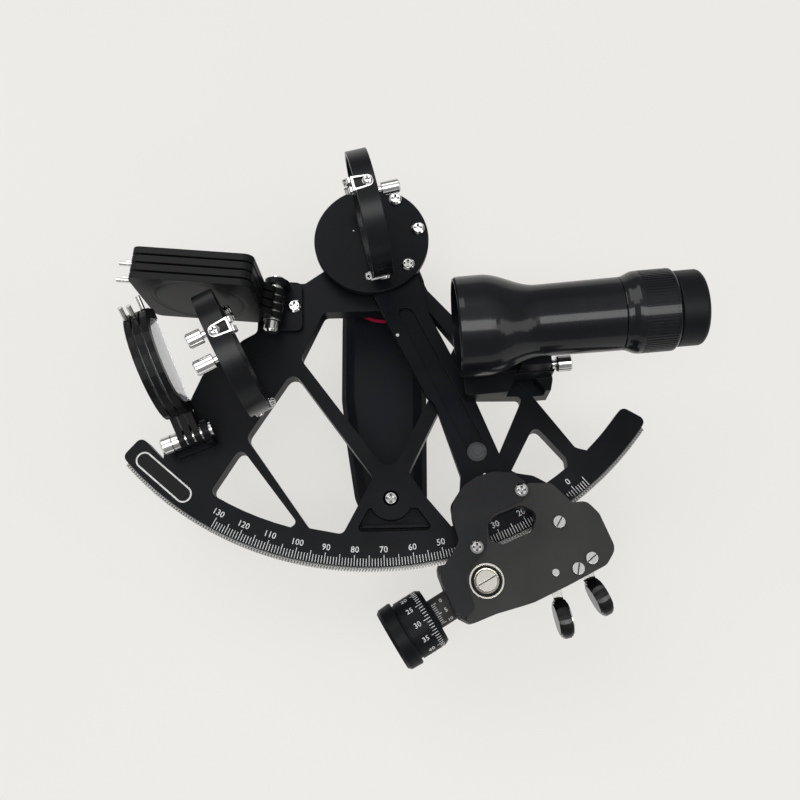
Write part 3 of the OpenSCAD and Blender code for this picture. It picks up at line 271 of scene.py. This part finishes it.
def newMaterial(name, **plain):
    material = bpy.data.materials.new(name)
    material.use_nodes = True
    tree = material.node_tree
    tree.nodes.clear()
    result = tree.nodes.new("ShaderNodeOutputMaterial")
    surface = tree.nodes.new("ShaderNodeBsdfPrincipled")
    tree.links.new(surface.outputs["BSDF"], result.inputs["Surface"])
    for key, value in plain.items():
        surface.inputs[key.replace("_", " ")].default_value = value
    return material, tree, surface


# where in the slow cloud a colour and a gloss begin to change, and where they have changed
colourBand, glossBand = (0.35, 0.7), (0.3, 0.7)


def clouded(tree, paint, band, first=0.0, second=1.0):
    # a value that goes from first to second as the slow cloud goes through the band
    return spread(tree, paint.outputs["Cloud"], *band, first, second)


def bumped(tree, surface, height, depth, strength, rub):
    # the height laid over the rounded corners
    bump = addNode(tree, "ShaderNodeBump", {"Height": height, "Distance": depth, "Strength": strength,
                                            "Normal": rub.outputs["Normal"]})
    tree.links.new(bump.outputs[0], surface.inputs["Normal"])


def enamel(name, colour, worn, gloss=(0.36, 0.5), grain=900.0, depth=0.000012, radius=0.0005, wear=0.5,
           coat=0.0, coatRough=0.1, mask=None, specular=0.11):
    # Black paint on metal: the colour drifts a little with the cloud, corners rub through to a paler
    # tone, and dust sits on the flats. mask lists further finishes over parts of the piece: how much of
    # each shows, its colour, its roughness and whether it is metal.
    tone = dict(gain=1.5, lift=0.002, dustShare=0.12, dustColour=(0.2, 0.2, 0.19), strength=0.6)
    material, tree, surface = newMaterial(name, Coat_Weight=coat, Coat_Roughness=coatRough,
                                          Specular_IOR_Level=specular)
    paint, rub = placed(tree, enamelGrain, Scale=grain), placed(tree, edgeWear, Radius=radius, Amount=wear)
    lighter = tuple(c * tone["gain"] + tone["lift"] for c in colour)
    dust = maths(tree, "MULTIPLY", paint.outputs["Dust"], tone["dustShare"])
    body = blendColour(tree, clouded(tree, paint, colourBand), colour, lighter)
    body = blendColour(tree, dust, body, tone["dustColour"])
    body = blendColour(tree, rub.outputs["Mask"], body, worn)
    rough = clouded(tree, paint, glossBand, *gloss)
    for share, second, secondRough, metal in (mask(tree) if mask else []):
        body = blendColour(tree, share, body, second)
        rough = maths(tree, "ADD", maths(tree, "MULTIPLY", rough, maths(tree, "SUBTRACT", 1.0, share)),
                      maths(tree, "MULTIPLY", share, secondRough))
        if metal:
            tree.links.new(share, surface.inputs["Metallic"])
    tree.links.new(body, surface.inputs["Base Color"])
    tree.links.new(rough, surface.inputs["Roughness"])
    bumped(tree, surface, paint.outputs["Height"], depth, tone["strength"], rub)
    return material


def brightMetal(name, colour, rough=(0.08, 0.22), scale=500.0, mask=None):
    # Plated or turned metal: smears make it duller here and there, and fine marks run round it. Painted shade
    # darkens the slots and the ground under the heads, where little of the room is open to the surface, and
    # over the mask.
    plate = dict(dull=0.72, smear=0.7, depth=0.000004, strength=0.5, radius=0.0002, wear=0.3)
    recessShade = dict(reach=0.0011, open=0.9, shut=0.45, colour=(0.012, 0.012, 0.012),
                 maskColour=(0.02, 0.021, 0.024))
    material, tree, surface = newMaterial(name, Metallic=1.0)
    marks = placed(tree, turnedMarks, Scale=scale)
    rub = placed(tree, edgeWear, Radius=plate["radius"], Amount=plate["wear"])
    dull = tuple(c * plate["dull"] for c in colour)
    body = blendColour(tree, maths(tree, "MULTIPLY", marks.outputs["Smear"], plate["smear"]), colour, dull)
    # painted shade: occlusion darkens the colour in slots, under heads and over the mask
    shelter = addNode(tree, "ShaderNodeAmbientOcclusion", {"Distance": recessShade["reach"]}, samples=6)
    shut = spread(tree, shelter.outputs["AO"], recessShade["open"], recessShade["shut"])
    body = blendColour(tree, shut, body, recessShade["colour"])
    if mask:
        body = blendColour(tree, mask(tree), body, recessShade["maskColour"])
    tree.links.new(body, surface.inputs["Base Color"])
    tree.links.new(spread(tree, marks.outputs["Smear"], 0.0, 1.0, *rough), surface.inputs["Roughness"])
    bumped(tree, surface, marks.outputs["Height"], plate["depth"], plate["strength"], rub)
    return material


def distanceFrom(tree, place, axes, turn=0.0):
    # distance from a place along the given axes only, after a turn about the upright axis
    moved = addNode(tree, "ShaderNodeVectorMath", {0: ownPlace(tree), 1: tuple(place)},
                    operation="SUBTRACT").outputs[0]
    turnedBack = addNode(tree, "ShaderNodeMapping",
                         {"Vector": moved, "Rotation": (0.0, 0.0, math.radians(turn))}).outputs[0]
    kept = addNode(tree, "ShaderNodeVectorMath", {0: turnedBack, 1: axes}, operation="MULTIPLY").outputs[0]
    return addNode(tree, "ShaderNodeVectorMath", {0: kept}, operation="LENGTH").outputs["Value"]


def depthAlong(tree, direction, start):
    # distance from a plane through start, along the direction at right angles to it
    home = float(np.dot(start, direction))
    return maths(tree, "SUBTRACT", dotOf(tree, ownPlace(tree), tuple(direction)), home)


pinChrome = dict(colour=(0.78, 0.77, 0.75), rough=0.16)


def shadeCentre(shade):
    # the middle of a shade's glass: out from its hinge and up, along the shade's own direction
    out = turned(shade["direction"]) @ np.array([-shade["out"], 0.0, shade["up"]])
    return fromPivot(out + np.array(shade["hinge"]))


def squareShadeMask(tree):
    # On a square index shade: the round tinted glass, the dark line round it, and the bright finger pin
    # beyond the far edge.
    disc = dict(hinge=(-47.0, -27.3, 8.5), direction=-4.8, out=31.5, up=18.5, radius=20.5, gap=0.1, soft=0.2,
                line=0.55, lineSoft=0.385, far=59.9)
    glass = dict(colour=(0.0024, 0.0027, 0.0033), rough=0.38, lineColour=(0.002, 0.002, 0.002), lineRough=0.5)
    away = distanceFrom(tree, shadeCentre(disc), (1.0, 0.0, 1.0), -disc["direction"])
    edge = disc["radius"] - disc["gap"]
    inside = spread(tree, away, edge * mm, (edge - disc["soft"]) * mm)
    line = nearTo(tree, away, disc["radius"] * mm, disc["line"] * mm, disc["lineSoft"] * mm)
    outward = turned(disc["direction"]) @ np.array([-1.0, 0.0, 0.0])
    reach = depthAlong(tree, outward, fromPivot(disc["hinge"]))
    pin = spread(tree, reach, disc["far"] * mm, (disc["far"] + disc["soft"]) * mm)
    return [(inside, glass["colour"], glass["rough"], False),
            (line, glass["lineColour"], glass["lineRough"], False),
            (pin, pinChrome["colour"], pinChrome["rough"], True)]


def archMask(tree):
    # On an arched horizon shade: the bright finger pin beyond the arch's rim, above its middle.
    arch = dict(hinge=(-79.7, -99.5, 9.0), direction=-68.3, out=31.5, up=21.0, rim=25.9, soft=0.2, above=8.0)
    centre = shadeCentre(arch)
    away = distanceFrom(tree, centre, (1.0, 0.0, 1.0), -arch["direction"])
    beyond = spread(tree, away, arch["rim"] * mm, (arch["rim"] + arch["soft"]) * mm)
    height = addNode(tree, "ShaderNodeSeparateXYZ", {0: ownPlace(tree)}).outputs[2]
    high = maths(tree, "GREATER_THAN", height, float(centre[2]) + arch["above"] * mm)
    return [(maths(tree, "MULTIPLY", beyond, high), pinChrome["colour"], pinChrome["rough"], True)]


def nodeOutline(nodeName):
    # the middle of a round upright node, and the radius of its outline
    corners = np.array([list(corner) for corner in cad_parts[nodeName].bound_box])
    return corners.mean(axis=0), float(corners[:, 0].max() - corners[:, 0].min()) / 2.0


def bushGrooveMask(tree):
    # painted shade in the groove between the thin rim of the big pivot bush and its raised slotted head
    groove = dict(radius=6.3, half=0.75, soft=0.15)
    away = distanceFrom(tree, nodeOutline("carriage_pivot")[0], (1.0, 1.0, 0.0))
    return nearTo(tree, away, groove["radius"] * mm, groove["half"] * mm, groove["soft"] * mm)


def sealShadowMask(tree):
    # the seal shows red only along its outer edge; the rest lies in shadow and dirt
    seal = dict(redWidth=1.3, soft=0.2)
    middle, outer = nodeOutline("lid_seal")
    away = distanceFrom(tree, middle, (1.0, 1.0, 0.0))
    edge = outer - seal["redWidth"] * mm
    return spread(tree, away, edge, edge - seal["soft"] * mm)


def padMask(tree):
    # The oval black finger pads at the ends of the two bright levers. A pad is black up to its plate, which
    # is a height along its thickness in the direction given by side, and bright beyond.
    pads = (dict(centre=(104.6, -175.2, -2.0), turn=-63.0, side=1.0, plate=3.3),
            dict(centre=(87.6, -184.6, -2.0), turn=-77.0, side=-1.0, plate=3.85))
    reach, soft, plateSoft = 9.7, 0.2, 0.1
    shares = []
    for pad in pads:
        centre = fromPivot(pad["centre"])
        near = spread(tree, distanceFrom(tree, centre, (1.0, 1.0, 1.0)), reach * mm, (reach - soft) * mm)
        through = pad["side"] * (turned(pad["turn"]) @ np.array([0.0, -1.0, 0.0]))
        depth = depthAlong(tree, through, centre)
        black = spread(tree, depth, (pad["plate"] + plateSoft) * mm, pad["plate"] * mm)
        shares.append(maths(tree, "MULTIPLY", near, black))
    return maths(tree, "MAXIMUM", *shares)


def leverMaterial():
    # a bright plate with glossy black over its finger pads
    look = dict(bright=(0.78, 0.77, 0.73), dull=(0.6, 0.59, 0.56), black=(0.004, 0.004, 0.0045), padCoat=0.3,
                rough=(0.14, 0.26), markScale=400.0, radius=0.0004, wear=0.2)
    material, tree, surface = newMaterial("leverPlateAndPad", Specular_IOR_Level=0.2, Coat_Roughness=0.12)
    marks = placed(tree, turnedMarks, Scale=look["markScale"])
    rub = placed(tree, edgeWear, Radius=look["radius"], Amount=look["wear"])
    share = padMask(tree)
    bright = blendColour(tree, marks.outputs["Smear"], look["bright"], look["dull"])
    tree.links.new(blendColour(tree, share, bright, look["black"]), surface.inputs["Base Color"])
    tree.links.new(maths(tree, "SUBTRACT", 1.0, share), surface.inputs["Metallic"])
    tree.links.new(maths(tree, "MULTIPLY", share, look["padCoat"]), surface.inputs["Coat Weight"])
    tree.links.new(spread(tree, marks.outputs["Smear"], 0.0, 1.0, *look["rough"]),
                   surface.inputs["Roughness"])
    tree.links.new(rub.outputs["Normal"], surface.inputs["Normal"])
    return material


def moulded(name, colour, grain, depth, rough=(0.45, 0.6), worn=(0.02, 0.023, 0.028), mask=None):
    # Moulded plastic or rubber: a leathery grain from cells, a slow cloud of handling shine, and painted
    # shadow with dirt over the mask.
    skin = dict(gain=1.45, radius=0.0008, wear=0.35, strength=0.6, shadowAndDirt=(0.02, 0.004, 0.006))
    material, tree, surface = newMaterial(name, Specular_IOR_Level=0.14)
    paint = placed(tree, enamelGrain, Scale=grain)
    rub = placed(tree, edgeWear, Radius=skin["radius"], Amount=skin["wear"])
    lighter = tuple(c * skin["gain"] for c in colour)
    body = blendColour(tree, clouded(tree, paint, colourBand), colour, lighter)
    body = blendColour(tree, rub.outputs["Mask"], body, worn)
    # painted shadow and dirt: the mask darkens the colour where shade falls
    if mask:
        body = blendColour(tree, mask(tree), body, skin["shadowAndDirt"])
    tree.links.new(body, surface.inputs["Base Color"])
    tree.links.new(clouded(tree, paint, glossBand, *rough), surface.inputs["Roughness"])
    bumped(tree, surface, cellsOf(tree, ownPlace(tree), grain), depth, skin["strength"], rub)
    return material


def clearGlass(name, colour, rough, ior=1.5, coatTint=None):
    # glass seen through: a faint film of dust makes it duller in patches
    film = dict(scale=300.0, cloud=40.0, gain=1.06, roughBand=(0.3, 0.75), roughStep=0.05, coat=0.6)
    material, tree, surface = newMaterial(name, Transmission_Weight=1.0, IOR=ior, Metallic=0.0)
    paint = placed(tree, enamelGrain, Scale=film["scale"], Cloud=film["cloud"])
    lighter = tuple(min(1.0, c * film["gain"]) for c in colour)
    tint = blendColour(tree, clouded(tree, paint, glossBand), colour, lighter)
    tree.links.new(tint, surface.inputs["Base Color"])
    tree.links.new(clouded(tree, paint, film["roughBand"], rough, rough + film["roughStep"]),
                   surface.inputs["Roughness"])
    if coatTint:
        surface.inputs["Coat Weight"].default_value = film["coat"]
        surface.inputs["Coat Tint"].default_value = (*coatTint, 1.0)
    return material


def silveredGlass():
    # a mirror, with a film of dust that dulls it in patches
    film = dict(scale=300.0, cloud=50.0, clean=(0.80, 0.82, 0.82), dusty=(0.72, 0.75, 0.75),
                roughBand=(0.4, 0.8), rough=(0.02, 0.08))
    material, tree, surface = newMaterial("silveredGlass", Metallic=1.0)
    paint = placed(tree, enamelGrain, Scale=film["scale"], Cloud=film["cloud"])
    tone = blendColour(tree, clouded(tree, paint, colourBand), film["clean"], film["dusty"])
    tree.links.new(tone, surface.inputs["Base Color"])
    tree.links.new(clouded(tree, paint, film["roughBand"], *film["rough"]), surface.inputs["Roughness"])
    return material


def paintedMark(name, colour):
    # paint rubbed into cut lines: chalky, thinner in places
    chalk = dict(scale=1500.0, cloud=500.0, thin=0.72, thinBand=(0.45, 0.7), rough=(0.55, 0.7))
    material, tree, surface = newMaterial(name)
    paint = placed(tree, enamelGrain, Scale=chalk["scale"], Cloud=chalk["cloud"])
    thin = tuple(c * chalk["thin"] for c in colour)
    tone = blendColour(tree, clouded(tree, paint, chalk["thinBand"]), colour, thin)
    tree.links.new(tone, surface.inputs["Base Color"])
    tree.links.new(clouded(tree, paint, glossBand, *chalk["rough"]), surface.inputs["Roughness"])
    return material


castEnamel = enamel("castEnamel", (0.0037, 0.0043, 0.0056), (0.035, 0.037, 0.04), (0.3, 0.42), wear=0.5,
                    specular=0.09)
armEnamel = enamel("armEnamel", (0.0032, 0.0039, 0.0054), (0.045, 0.047, 0.05), (0.26, 0.38), wear=0.5,
                   specular=0.08)
coverEnamel = enamel("coverEnamel", (0.023, 0.023, 0.0225), (0.09, 0.09, 0.09), (0.46, 0.58), grain=1400.0,
                     depth=0.00002, wear=0.45)
hookEnamel = enamel("hookEnamel", (0.0105, 0.011, 0.012), (0.07, 0.072, 0.075), (0.44, 0.56), grain=1400.0,
                    depth=0.00002, wear=0.45)
ringEnamel = enamel("ringEnamel", (0.0036, 0.0042, 0.0054), (0.05, 0.052, 0.055), (0.24, 0.34), wear=0.5,
                    specular=0.2)
shadeEnamel = enamel("shadeEnamel", (0.0045, 0.0048, 0.0053), (0.05, 0.052, 0.055), (0.32, 0.42),
                     radius=0.0003, mask=squareShadeMask)
archEnamel = enamel("archEnamel", (0.0045, 0.0048, 0.0053), (0.05, 0.052, 0.055), (0.32, 0.42),
                    radius=0.0003, mask=archMask)
scopeEnamel = enamel("scopeEnamel", (0.003, 0.0037, 0.0052), (0.025, 0.026, 0.028), (0.24, 0.34), grain=220.0,
                     depth=0.00003, wear=0.2, coat=0.5, coatRough=0.12, specular=0.06)
drumPaint = enamel("drumPaint", (0.0036, 0.0042, 0.0052), (0.05, 0.05, 0.052), (0.34, 0.44), radius=0.0004,
                   specular=0.08)
plateBlack = enamel("plateBlack", (0.006, 0.006, 0.007), (0.3, 0.3, 0.3), (0.4, 0.5), radius=0.0002, wear=0.6)
lampEnamel = enamel("lampEnamel", (0.05, 0.052, 0.054), (0.2, 0.2, 0.2), (0.35, 0.45), radius=0.0003)
toothMetal = brightMetal("toothMetal", (0.34, 0.34, 0.33), (0.3, 0.42), 700.0)
chromePlate = brightMetal("chromePlate", (0.8, 0.8, 0.79), (0.06, 0.16))
bushChrome = brightMetal("bushChrome", (0.84, 0.81, 0.74), (0.1, 0.2), mask=bushGrooveMask)
turnedSteel = brightMetal("turnedSteel", (0.66, 0.66, 0.65), (0.16, 0.3), 800.0)
bronzeTurned = brightMetal("bronzeTurned", (0.62, 0.42, 0.20), (0.2, 0.34), 700.0)
cellWrap = brightMetal("cellWrap", (0.16, 0.2, 0.27), (0.25, 0.4))
gripMoulding = moulded("gripMoulding", (0.0024, 0.0034, 0.0056), 1300.0, 0.00006)
footRubber = moulded("footRubber", (0.012, 0.012, 0.012), 900.0, 0.00008, (0.6, 0.75))
cupRubber = moulded("cupRubber", (0.0036, 0.0044, 0.0056), 1100.0, 0.00003, (0.36, 0.5))
sealRubber = moulded("sealRubber", (0.36, 0.010, 0.045), 900.0, 0.00004, (0.4, 0.5), worn=(0.5, 0.06, 0.11),
                     mask=sealShadowMask)
greyGlass = clearGlass("greyGlass", (0.42, 0.44, 0.46), 0.03)
lensGlass = clearGlass("lensGlass", (0.86, 0.92, 0.94), 0.01, 1.6, (0.6, 0.5, 0.85))
mirrorGlass = silveredGlass()
leverFinish = leverMaterial()
scalePaint = paintedMark("scalePaint", (0.62, 0.63, 0.63))
rimPaint = paintedMark("rimPaint", (0.62, 0.62, 0.61))

finishes = {
    castEnamel: ["frame_casting", "legs", "handle_posts", "index_shade_bracket", "horizon_shade_bracket",
                 "telescope_bracket", "telescope_foot"],
    armEnamel: ["index_arm", "mirror_table"],
    ringEnamel: ["index_mirror_ring", "horizon_mirror_ring"],
    coverEnamel: ["micrometer_housing", "housing_base", "worm_carriage"],
    hookEnamel: ["micrometer_cover"],
    shadeEnamel: [f"index_shade_{i}" for i in (1, 2, 3, 4)],
    archEnamel: [f"horizon_shade_{i}" for i in (1, 2, 3)],
    greyGlass: [f"horizon_shade_glass_{i}" for i in (1, 2, 3)],
    scopeEnamel: ["telescope_tube", "focus_ring"],
    cupRubber: ["eyepiece_tube"],
    lensGlass: ["objective_lens", "eye_lens"],
    mirrorGlass: ["horizon_mirror_glass", "index_mirror_glass"],
    drumPaint: ["drum", "drum_knob"],
    plateBlack: ["nose_plate"],
    lampEnamel: ["scale_lamp"],
    toothMetal: ["arc_rack"],
    chromePlate: ["frame_screws", "shade_pins", "horizon_mirror_clips", "index_mirror_clips", "clamp_screw",
                  "horizon_adjuster_upper", "horizon_adjuster_lower", "index_adjuster", "arm_screws"],
    bushChrome: ["carriage_pivot"],
    turnedSteel: ["shade_washers", "pivot_journal", "journal_nut"],
    bronzeTurned: ["pivot_bush", "worm_shaft"],
    cellWrap: ["handle_cells"],
    gripMoulding: ["handle_front", "handle_back", "battery_lid"],
    sealRubber: ["lid_seal"],
    footRubber: ["feet"],
    leverFinish: ["fixed_lever", "release_lever"],
}
for finish, nodeNames in finishes.items():
    for nodeName in nodeNames:
        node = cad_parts[nodeName]
        for slot in node.material_slots:
            slot.material = finish
        if not len(node.material_slots):
            node.data.materials.append(finish)
unfinished = sorted(set(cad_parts) - {n for names in finishes.values() for n in names})
print("finishes:", len(finishes), "left over:", unfinished)


arcScale = dict(zero=-52.5, first=-5, last=130, outer=161.2, shortFrom=157.7, longFrom=156.2, lineWidth=0.3,
                numberRadius=153.6, numberHeight=3.0, heavy=0.015, rise=0.03, sink=0.03)


def makeArcScale():
    # A radial line for each degree of reading, which is half a degree round the pivot, longer at each
    # fifth, and a number at each tenth with its top towards the pivot.
    s = arcScale
    readings = np.arange(s["first"], s["last"] + 1)
    angle = np.radians(s["zero"] - readings / 2)
    inner = np.where(readings % 5 == 0, s["longFrom"], s["shortFrom"])
    outward = np.stack([np.cos(angle), np.sin(angle), 0 * angle], axis=1)
    up = np.tile([0.0, 0.0, 1.0], (len(readings), 1))
    parts = [strokes(outward * inner[:, None], outward * s["outer"], np.full(len(readings), s["lineWidth"]),
                     up, s["rise"], s["sink"])]
    for reading in range(0, s["last"] + 1, 10):
        points, faces = numeral(str(reading), s["numberHeight"], s["rise"] + s["sink"], s["heavy"])
        direction = s["zero"] - reading / 2
        points = (points + [0.0, -s["numberRadius"], 0.0]) @ turned(direction + 90).T
        parts.append((points, faces))
    corners, faces = joined(parts)
    meshPiece("arc_scale", fromPivot(corners), faces, "frame", scalePaint)


makeArcScale()
print("arc scale done")


def roundWorm(along, angle, radius):
    # a point on a cylinder about the worm's axis: angle 0 on top, growing towards the arc's outside
    return np.stack([along, -radius * np.sin(angle), radius * np.cos(angle)], axis=-1)


def makeRoundScale(name, s, body):
    # A line along a cylinder about the worm for each value, longer at each fifth, and numbers bent round
    # it. All lines end on the edge, and away says to which side of it they lie.
    values = np.arange(s["count"])
    angle = np.radians(s["start"] + s["step"] * values)
    length = np.where(values % 5 == 0, s["longLine"], s["shortLine"])
    near = np.full(len(values), s["edge"])
    far = near + s["away"] * length
    up = roundWorm(0 * angle, angle, 1.0)
    parts = [strokes(roundWorm(np.minimum(near, far), angle, s["radius"]),
                     roundWorm(np.maximum(near, far), angle, s["radius"]),
                     np.full(len(values), s["lineWidth"]), up, s["rise"], s["sink"])]
    for value in range(0, s["count"], 5):
        points, faces = numeral(str(value), s["numberHeight"], s["rise"] + s["sink"])
        parts.append((roundWorm(points[:, 0] + s["numberAt"], angle[value] - points[:, 1] / s["radius"],
                                s["radius"] + points[:, 2] + (s["rise"] - s["sink"]) / 2), faces))
    corners, faces = joined(parts)
    meshPiece(name, fromWorm(corners), faces, body, scalePaint)


# the drum's sixty minutes, and the ten parts of one on the sleeve beside it
drumScale = dict(radius=14.0, count=60, start=-180.0, step=6.0, edge=-29.7, away=-1, shortLine=2.2,
                 longLine=3.4, lineWidth=0.26, numberAt=-36.2, numberHeight=2.5, rise=0.09, sink=0.05)
vernierScale = dict(radius=7.0, count=11, start=-34.0, step=8.4, edge=-26.6, away=1, shortLine=1.7,
                    longLine=2.6, lineWidth=0.26, numberAt=-21.6, numberHeight=2.0, rise=0.08, sink=0.05)
makeRoundScale("drum_scale", drumScale, "worm_and_drum")
makeRoundScale("vernier_scale", vernierScale, "worm_carriage")
print("drum and vernier scales done")


plateRim = dict(angle=-129.6, radius=154.6, length=33.2, width=7.4, top=0.3, line=0.75, rise=0.05, sink=0.05,
                steps=25)


def makePlateRim():
    # A flat ribbon carried round an oval with straight sides: the half circle at each end is cos and sin
    # of the angle, moved out by half the straight length.
    s = plateRim
    half, straight = s["width"] / 2, (s["length"] - s["width"]) / 2
    t = np.radians(np.linspace(-90, 90, s["steps"]))
    right = np.stack([straight + half * np.cos(t), half * np.sin(t), 0 * t], axis=1)
    oval = np.concatenate([right, -right * [1, 1, 0]])
    up = np.tile([0.0, 0.0, 1.0], (len(oval), 1))
    w = s["line"] / 2
    profile = [(-w, -s["sink"]), (w, -s["sink"]), (w, s["rise"]), (-w, s["rise"])]
    corners, faces = carried(oval, profile, up)
    corners = (corners @ turned(90).T + [s["radius"], 0.0, s["top"]]) @ turned(s["angle"]).T
    meshPiece("plate_rim", fromPivot(corners), faces, "frame", rimPaint)


# each dot's place on the arm or the mirror table, and its radius
paintDots = dict(spots=[(13.5, -49.9, 5.6, 0.55), (54.6, -120.1, 5.6, 0.5), (-9.0, 4.9, 9.0, 0.4),
                        (-4.1, 6.2, 9.0, 0.4)], crown=0.35, sink=0.02, rings=5, around=16, weld=0.002)


def makePaintDots():
    # small crowned dots: the height falls off as the square root of one less the radius squared
    s = paintDots
    u, v = np.meshgrid(np.linspace(0, 1, s["rings"]), np.arange(s["around"]) / s["around"] * 2 * np.pi,
                       indexing="ij")
    dome = np.stack([u * np.cos(v), u * np.sin(v), s["crown"] * np.sqrt(1 - u ** 2) - s["sink"]], axis=-1)
    i, j = np.meshgrid(np.arange(s["rings"] - 1), np.arange(s["around"]), indexing="ij")
    n = s["around"]
    quads = np.stack([i * n + j, (i + 1) * n + j, (i + 1) * n + (j + 1) % n, i * n + (j + 1) % n],
                     axis=-1).reshape(-1, 4)
    base = [[(s["rings"] - 1) * n + k for k in range(n - 1, -1, -1)]]
    parts = []
    for x, y, z, size in s["spots"]:
        parts.append((dome.reshape(-1, 3) * size + [x, y, z], quads.tolist() + base))
    corners, faces = joined(parts)
    piece = meshPiece("paint_dots", fromPivot(corners), faces, "index_arm", scalePaint)
    weld = piece.modifiers.new("weld", "WELD")
    weld.merge_threshold = s["weld"] * mm


makePlateRim()
makePaintDots()
print("small marks done")


def squareSheet(name, size, material):
    half = size / 2
    mesh = bpy.data.meshes.new(name)
    mesh.from_pydata([(-half, -half, 0.0), (half, -half, 0.0), (half, half, 0.0), (-half, half, 0.0)],
                     [], [(0, 1, 2, 3)])
    mesh.materials.append(material)
    sheet = bpy.data.objects.new(name, mesh)
    bpy.context.scene.collection.objects.link(sheet)
    return sheet


def paleFloor():
    # The floor takes the shadow, and some of its paleness is its own for what looks at it directly, in a
    # reflection or through glass.
    glow = dict(share=0.74, colour=(0.83, 0.815, 0.79))
    cloth = dict(scale=2.2, low=0.35, high=0.65, first=(0.76, 0.745, 0.73), second=(0.80, 0.79, 0.77))
    material, tree, surface = newMaterial("paleFloor", Roughness=0.8)
    path = addNode(tree, "ShaderNodeLightPath").outputs
    seen = maths(tree, "MAXIMUM", path["Is Camera Ray"], path["Is Glossy Ray"])
    direct = maths(tree, "MAXIMUM", seen, path["Is Transmission Ray"])
    shine = addNode(tree, "ShaderNodeEmission", {"Color": (*glow["colour"], 1.0)})
    mix = addNode(tree, "ShaderNodeMixShader", {0: maths(tree, "MULTIPLY", direct, glow["share"]),
                                                1: surface.outputs["BSDF"], 2: shine.outputs[0]})
    tree.links.new(mix.outputs[0], tree.nodes["Material Output"].inputs["Surface"])
    patches = spread(tree, noiseOf(tree, ownPlace(tree), cloth["scale"]), cloth["low"], cloth["high"])
    tree.links.new(blendColour(tree, patches, cloth["first"], cloth["second"]), surface.inputs["Base Color"])
    return material


floorPiece = squareSheet("floor", 6.0, paleFloor())

# a plain room: a pale ceiling, and walls that are a little dimmer
room = dict(overhead=(0.95, 0.95, 0.94), wall=(0.4, 0.397, 0.39), high=0.93, low=0.6, strength=0.72)
world = bpy.data.worlds.new("softRoom")
bpy.context.scene.world = world
world.use_nodes = True
worldTree = world.node_tree
direction = addNode(worldTree, "ShaderNodeTexCoord").outputs["Generated"]
skyward = addNode(worldTree, "ShaderNodeSeparateXYZ", {0: direction}).outputs[2]
roomTone = blendColour(worldTree, spread(worldTree, skyward, room["high"], room["low"]), room["overhead"],
                       room["wall"])
worldTree.links.new(roomTone, worldTree.nodes["Background"].inputs["Color"])
worldTree.nodes["Background"].inputs["Strength"].default_value = room["strength"]

softLights = [
    dict(name="windowLight", place=(-0.75, 0.9, 1.5), aim=(0.0, 0.0, 0.05), size=(1.5, 1.1), power=12.0,
         colour=(1.0, 0.99, 0.98)),
    dict(name="sideLight", place=(1.3, -0.5, 1.2), aim=(0.0, 0.0, 0.05), size=(0.7, 0.9), power=4.0,
         colour=(1.0, 0.98, 0.95)),
    dict(name="ceilingStrip", place=(0.1, -0.5, 1.7), aim=(0.1, 0.0, 0.05), size=(1.5, 0.66), power=15.0,
         colour=(1.0, 1.0, 1.0)),
]
for light in softLights:
    lamp = bpy.data.lights.new(light["name"], "AREA")
    lamp.shape = "RECTANGLE"
    lamp.size, lamp.size_y = light["size"]
    lamp.energy = light["power"]
    lamp.color = light["colour"]
    lampObject = bpy.data.objects.new(light["name"], lamp)
    bpy.context.scene.collection.objects.link(lampObject)
    lampObject.location = light["place"]
    x, y, z = np.array(light["aim"]) - np.array(light["place"])
    lampObject.rotation_euler = (math.atan2(math.hypot(x, y), -z), 0.0, math.atan2(-x, y))

# solved from the photograph's scale lines: the lens is the focal length in pixels over the picture's width
viewPoint = dict(place=(0.0057, -0.1057, 0.4676), tilt=(15.69, 1.07, 0.0), focal=861, width=800, sensor=36.0,
                 nearest=0.01, farthest=20.0)
lensData = bpy.data.cameras.new("camera")
lensData.lens = viewPoint["focal"] / viewPoint["width"] * viewPoint["sensor"]
lensData.sensor_width = viewPoint["sensor"]
lensData.clip_start, lensData.clip_end = viewPoint["nearest"], viewPoint["farthest"]
camera = bpy.data.objects.new("camera", lensData)
camera.location = viewPoint["place"]
camera.rotation_euler = [math.radians(a) for a in viewPoint["tilt"]]
bpy.context.scene.collection.objects.link(camera)
bpy.context.scene.camera = camera
bpy.context.scene.view_settings.view_transform = "Standard"
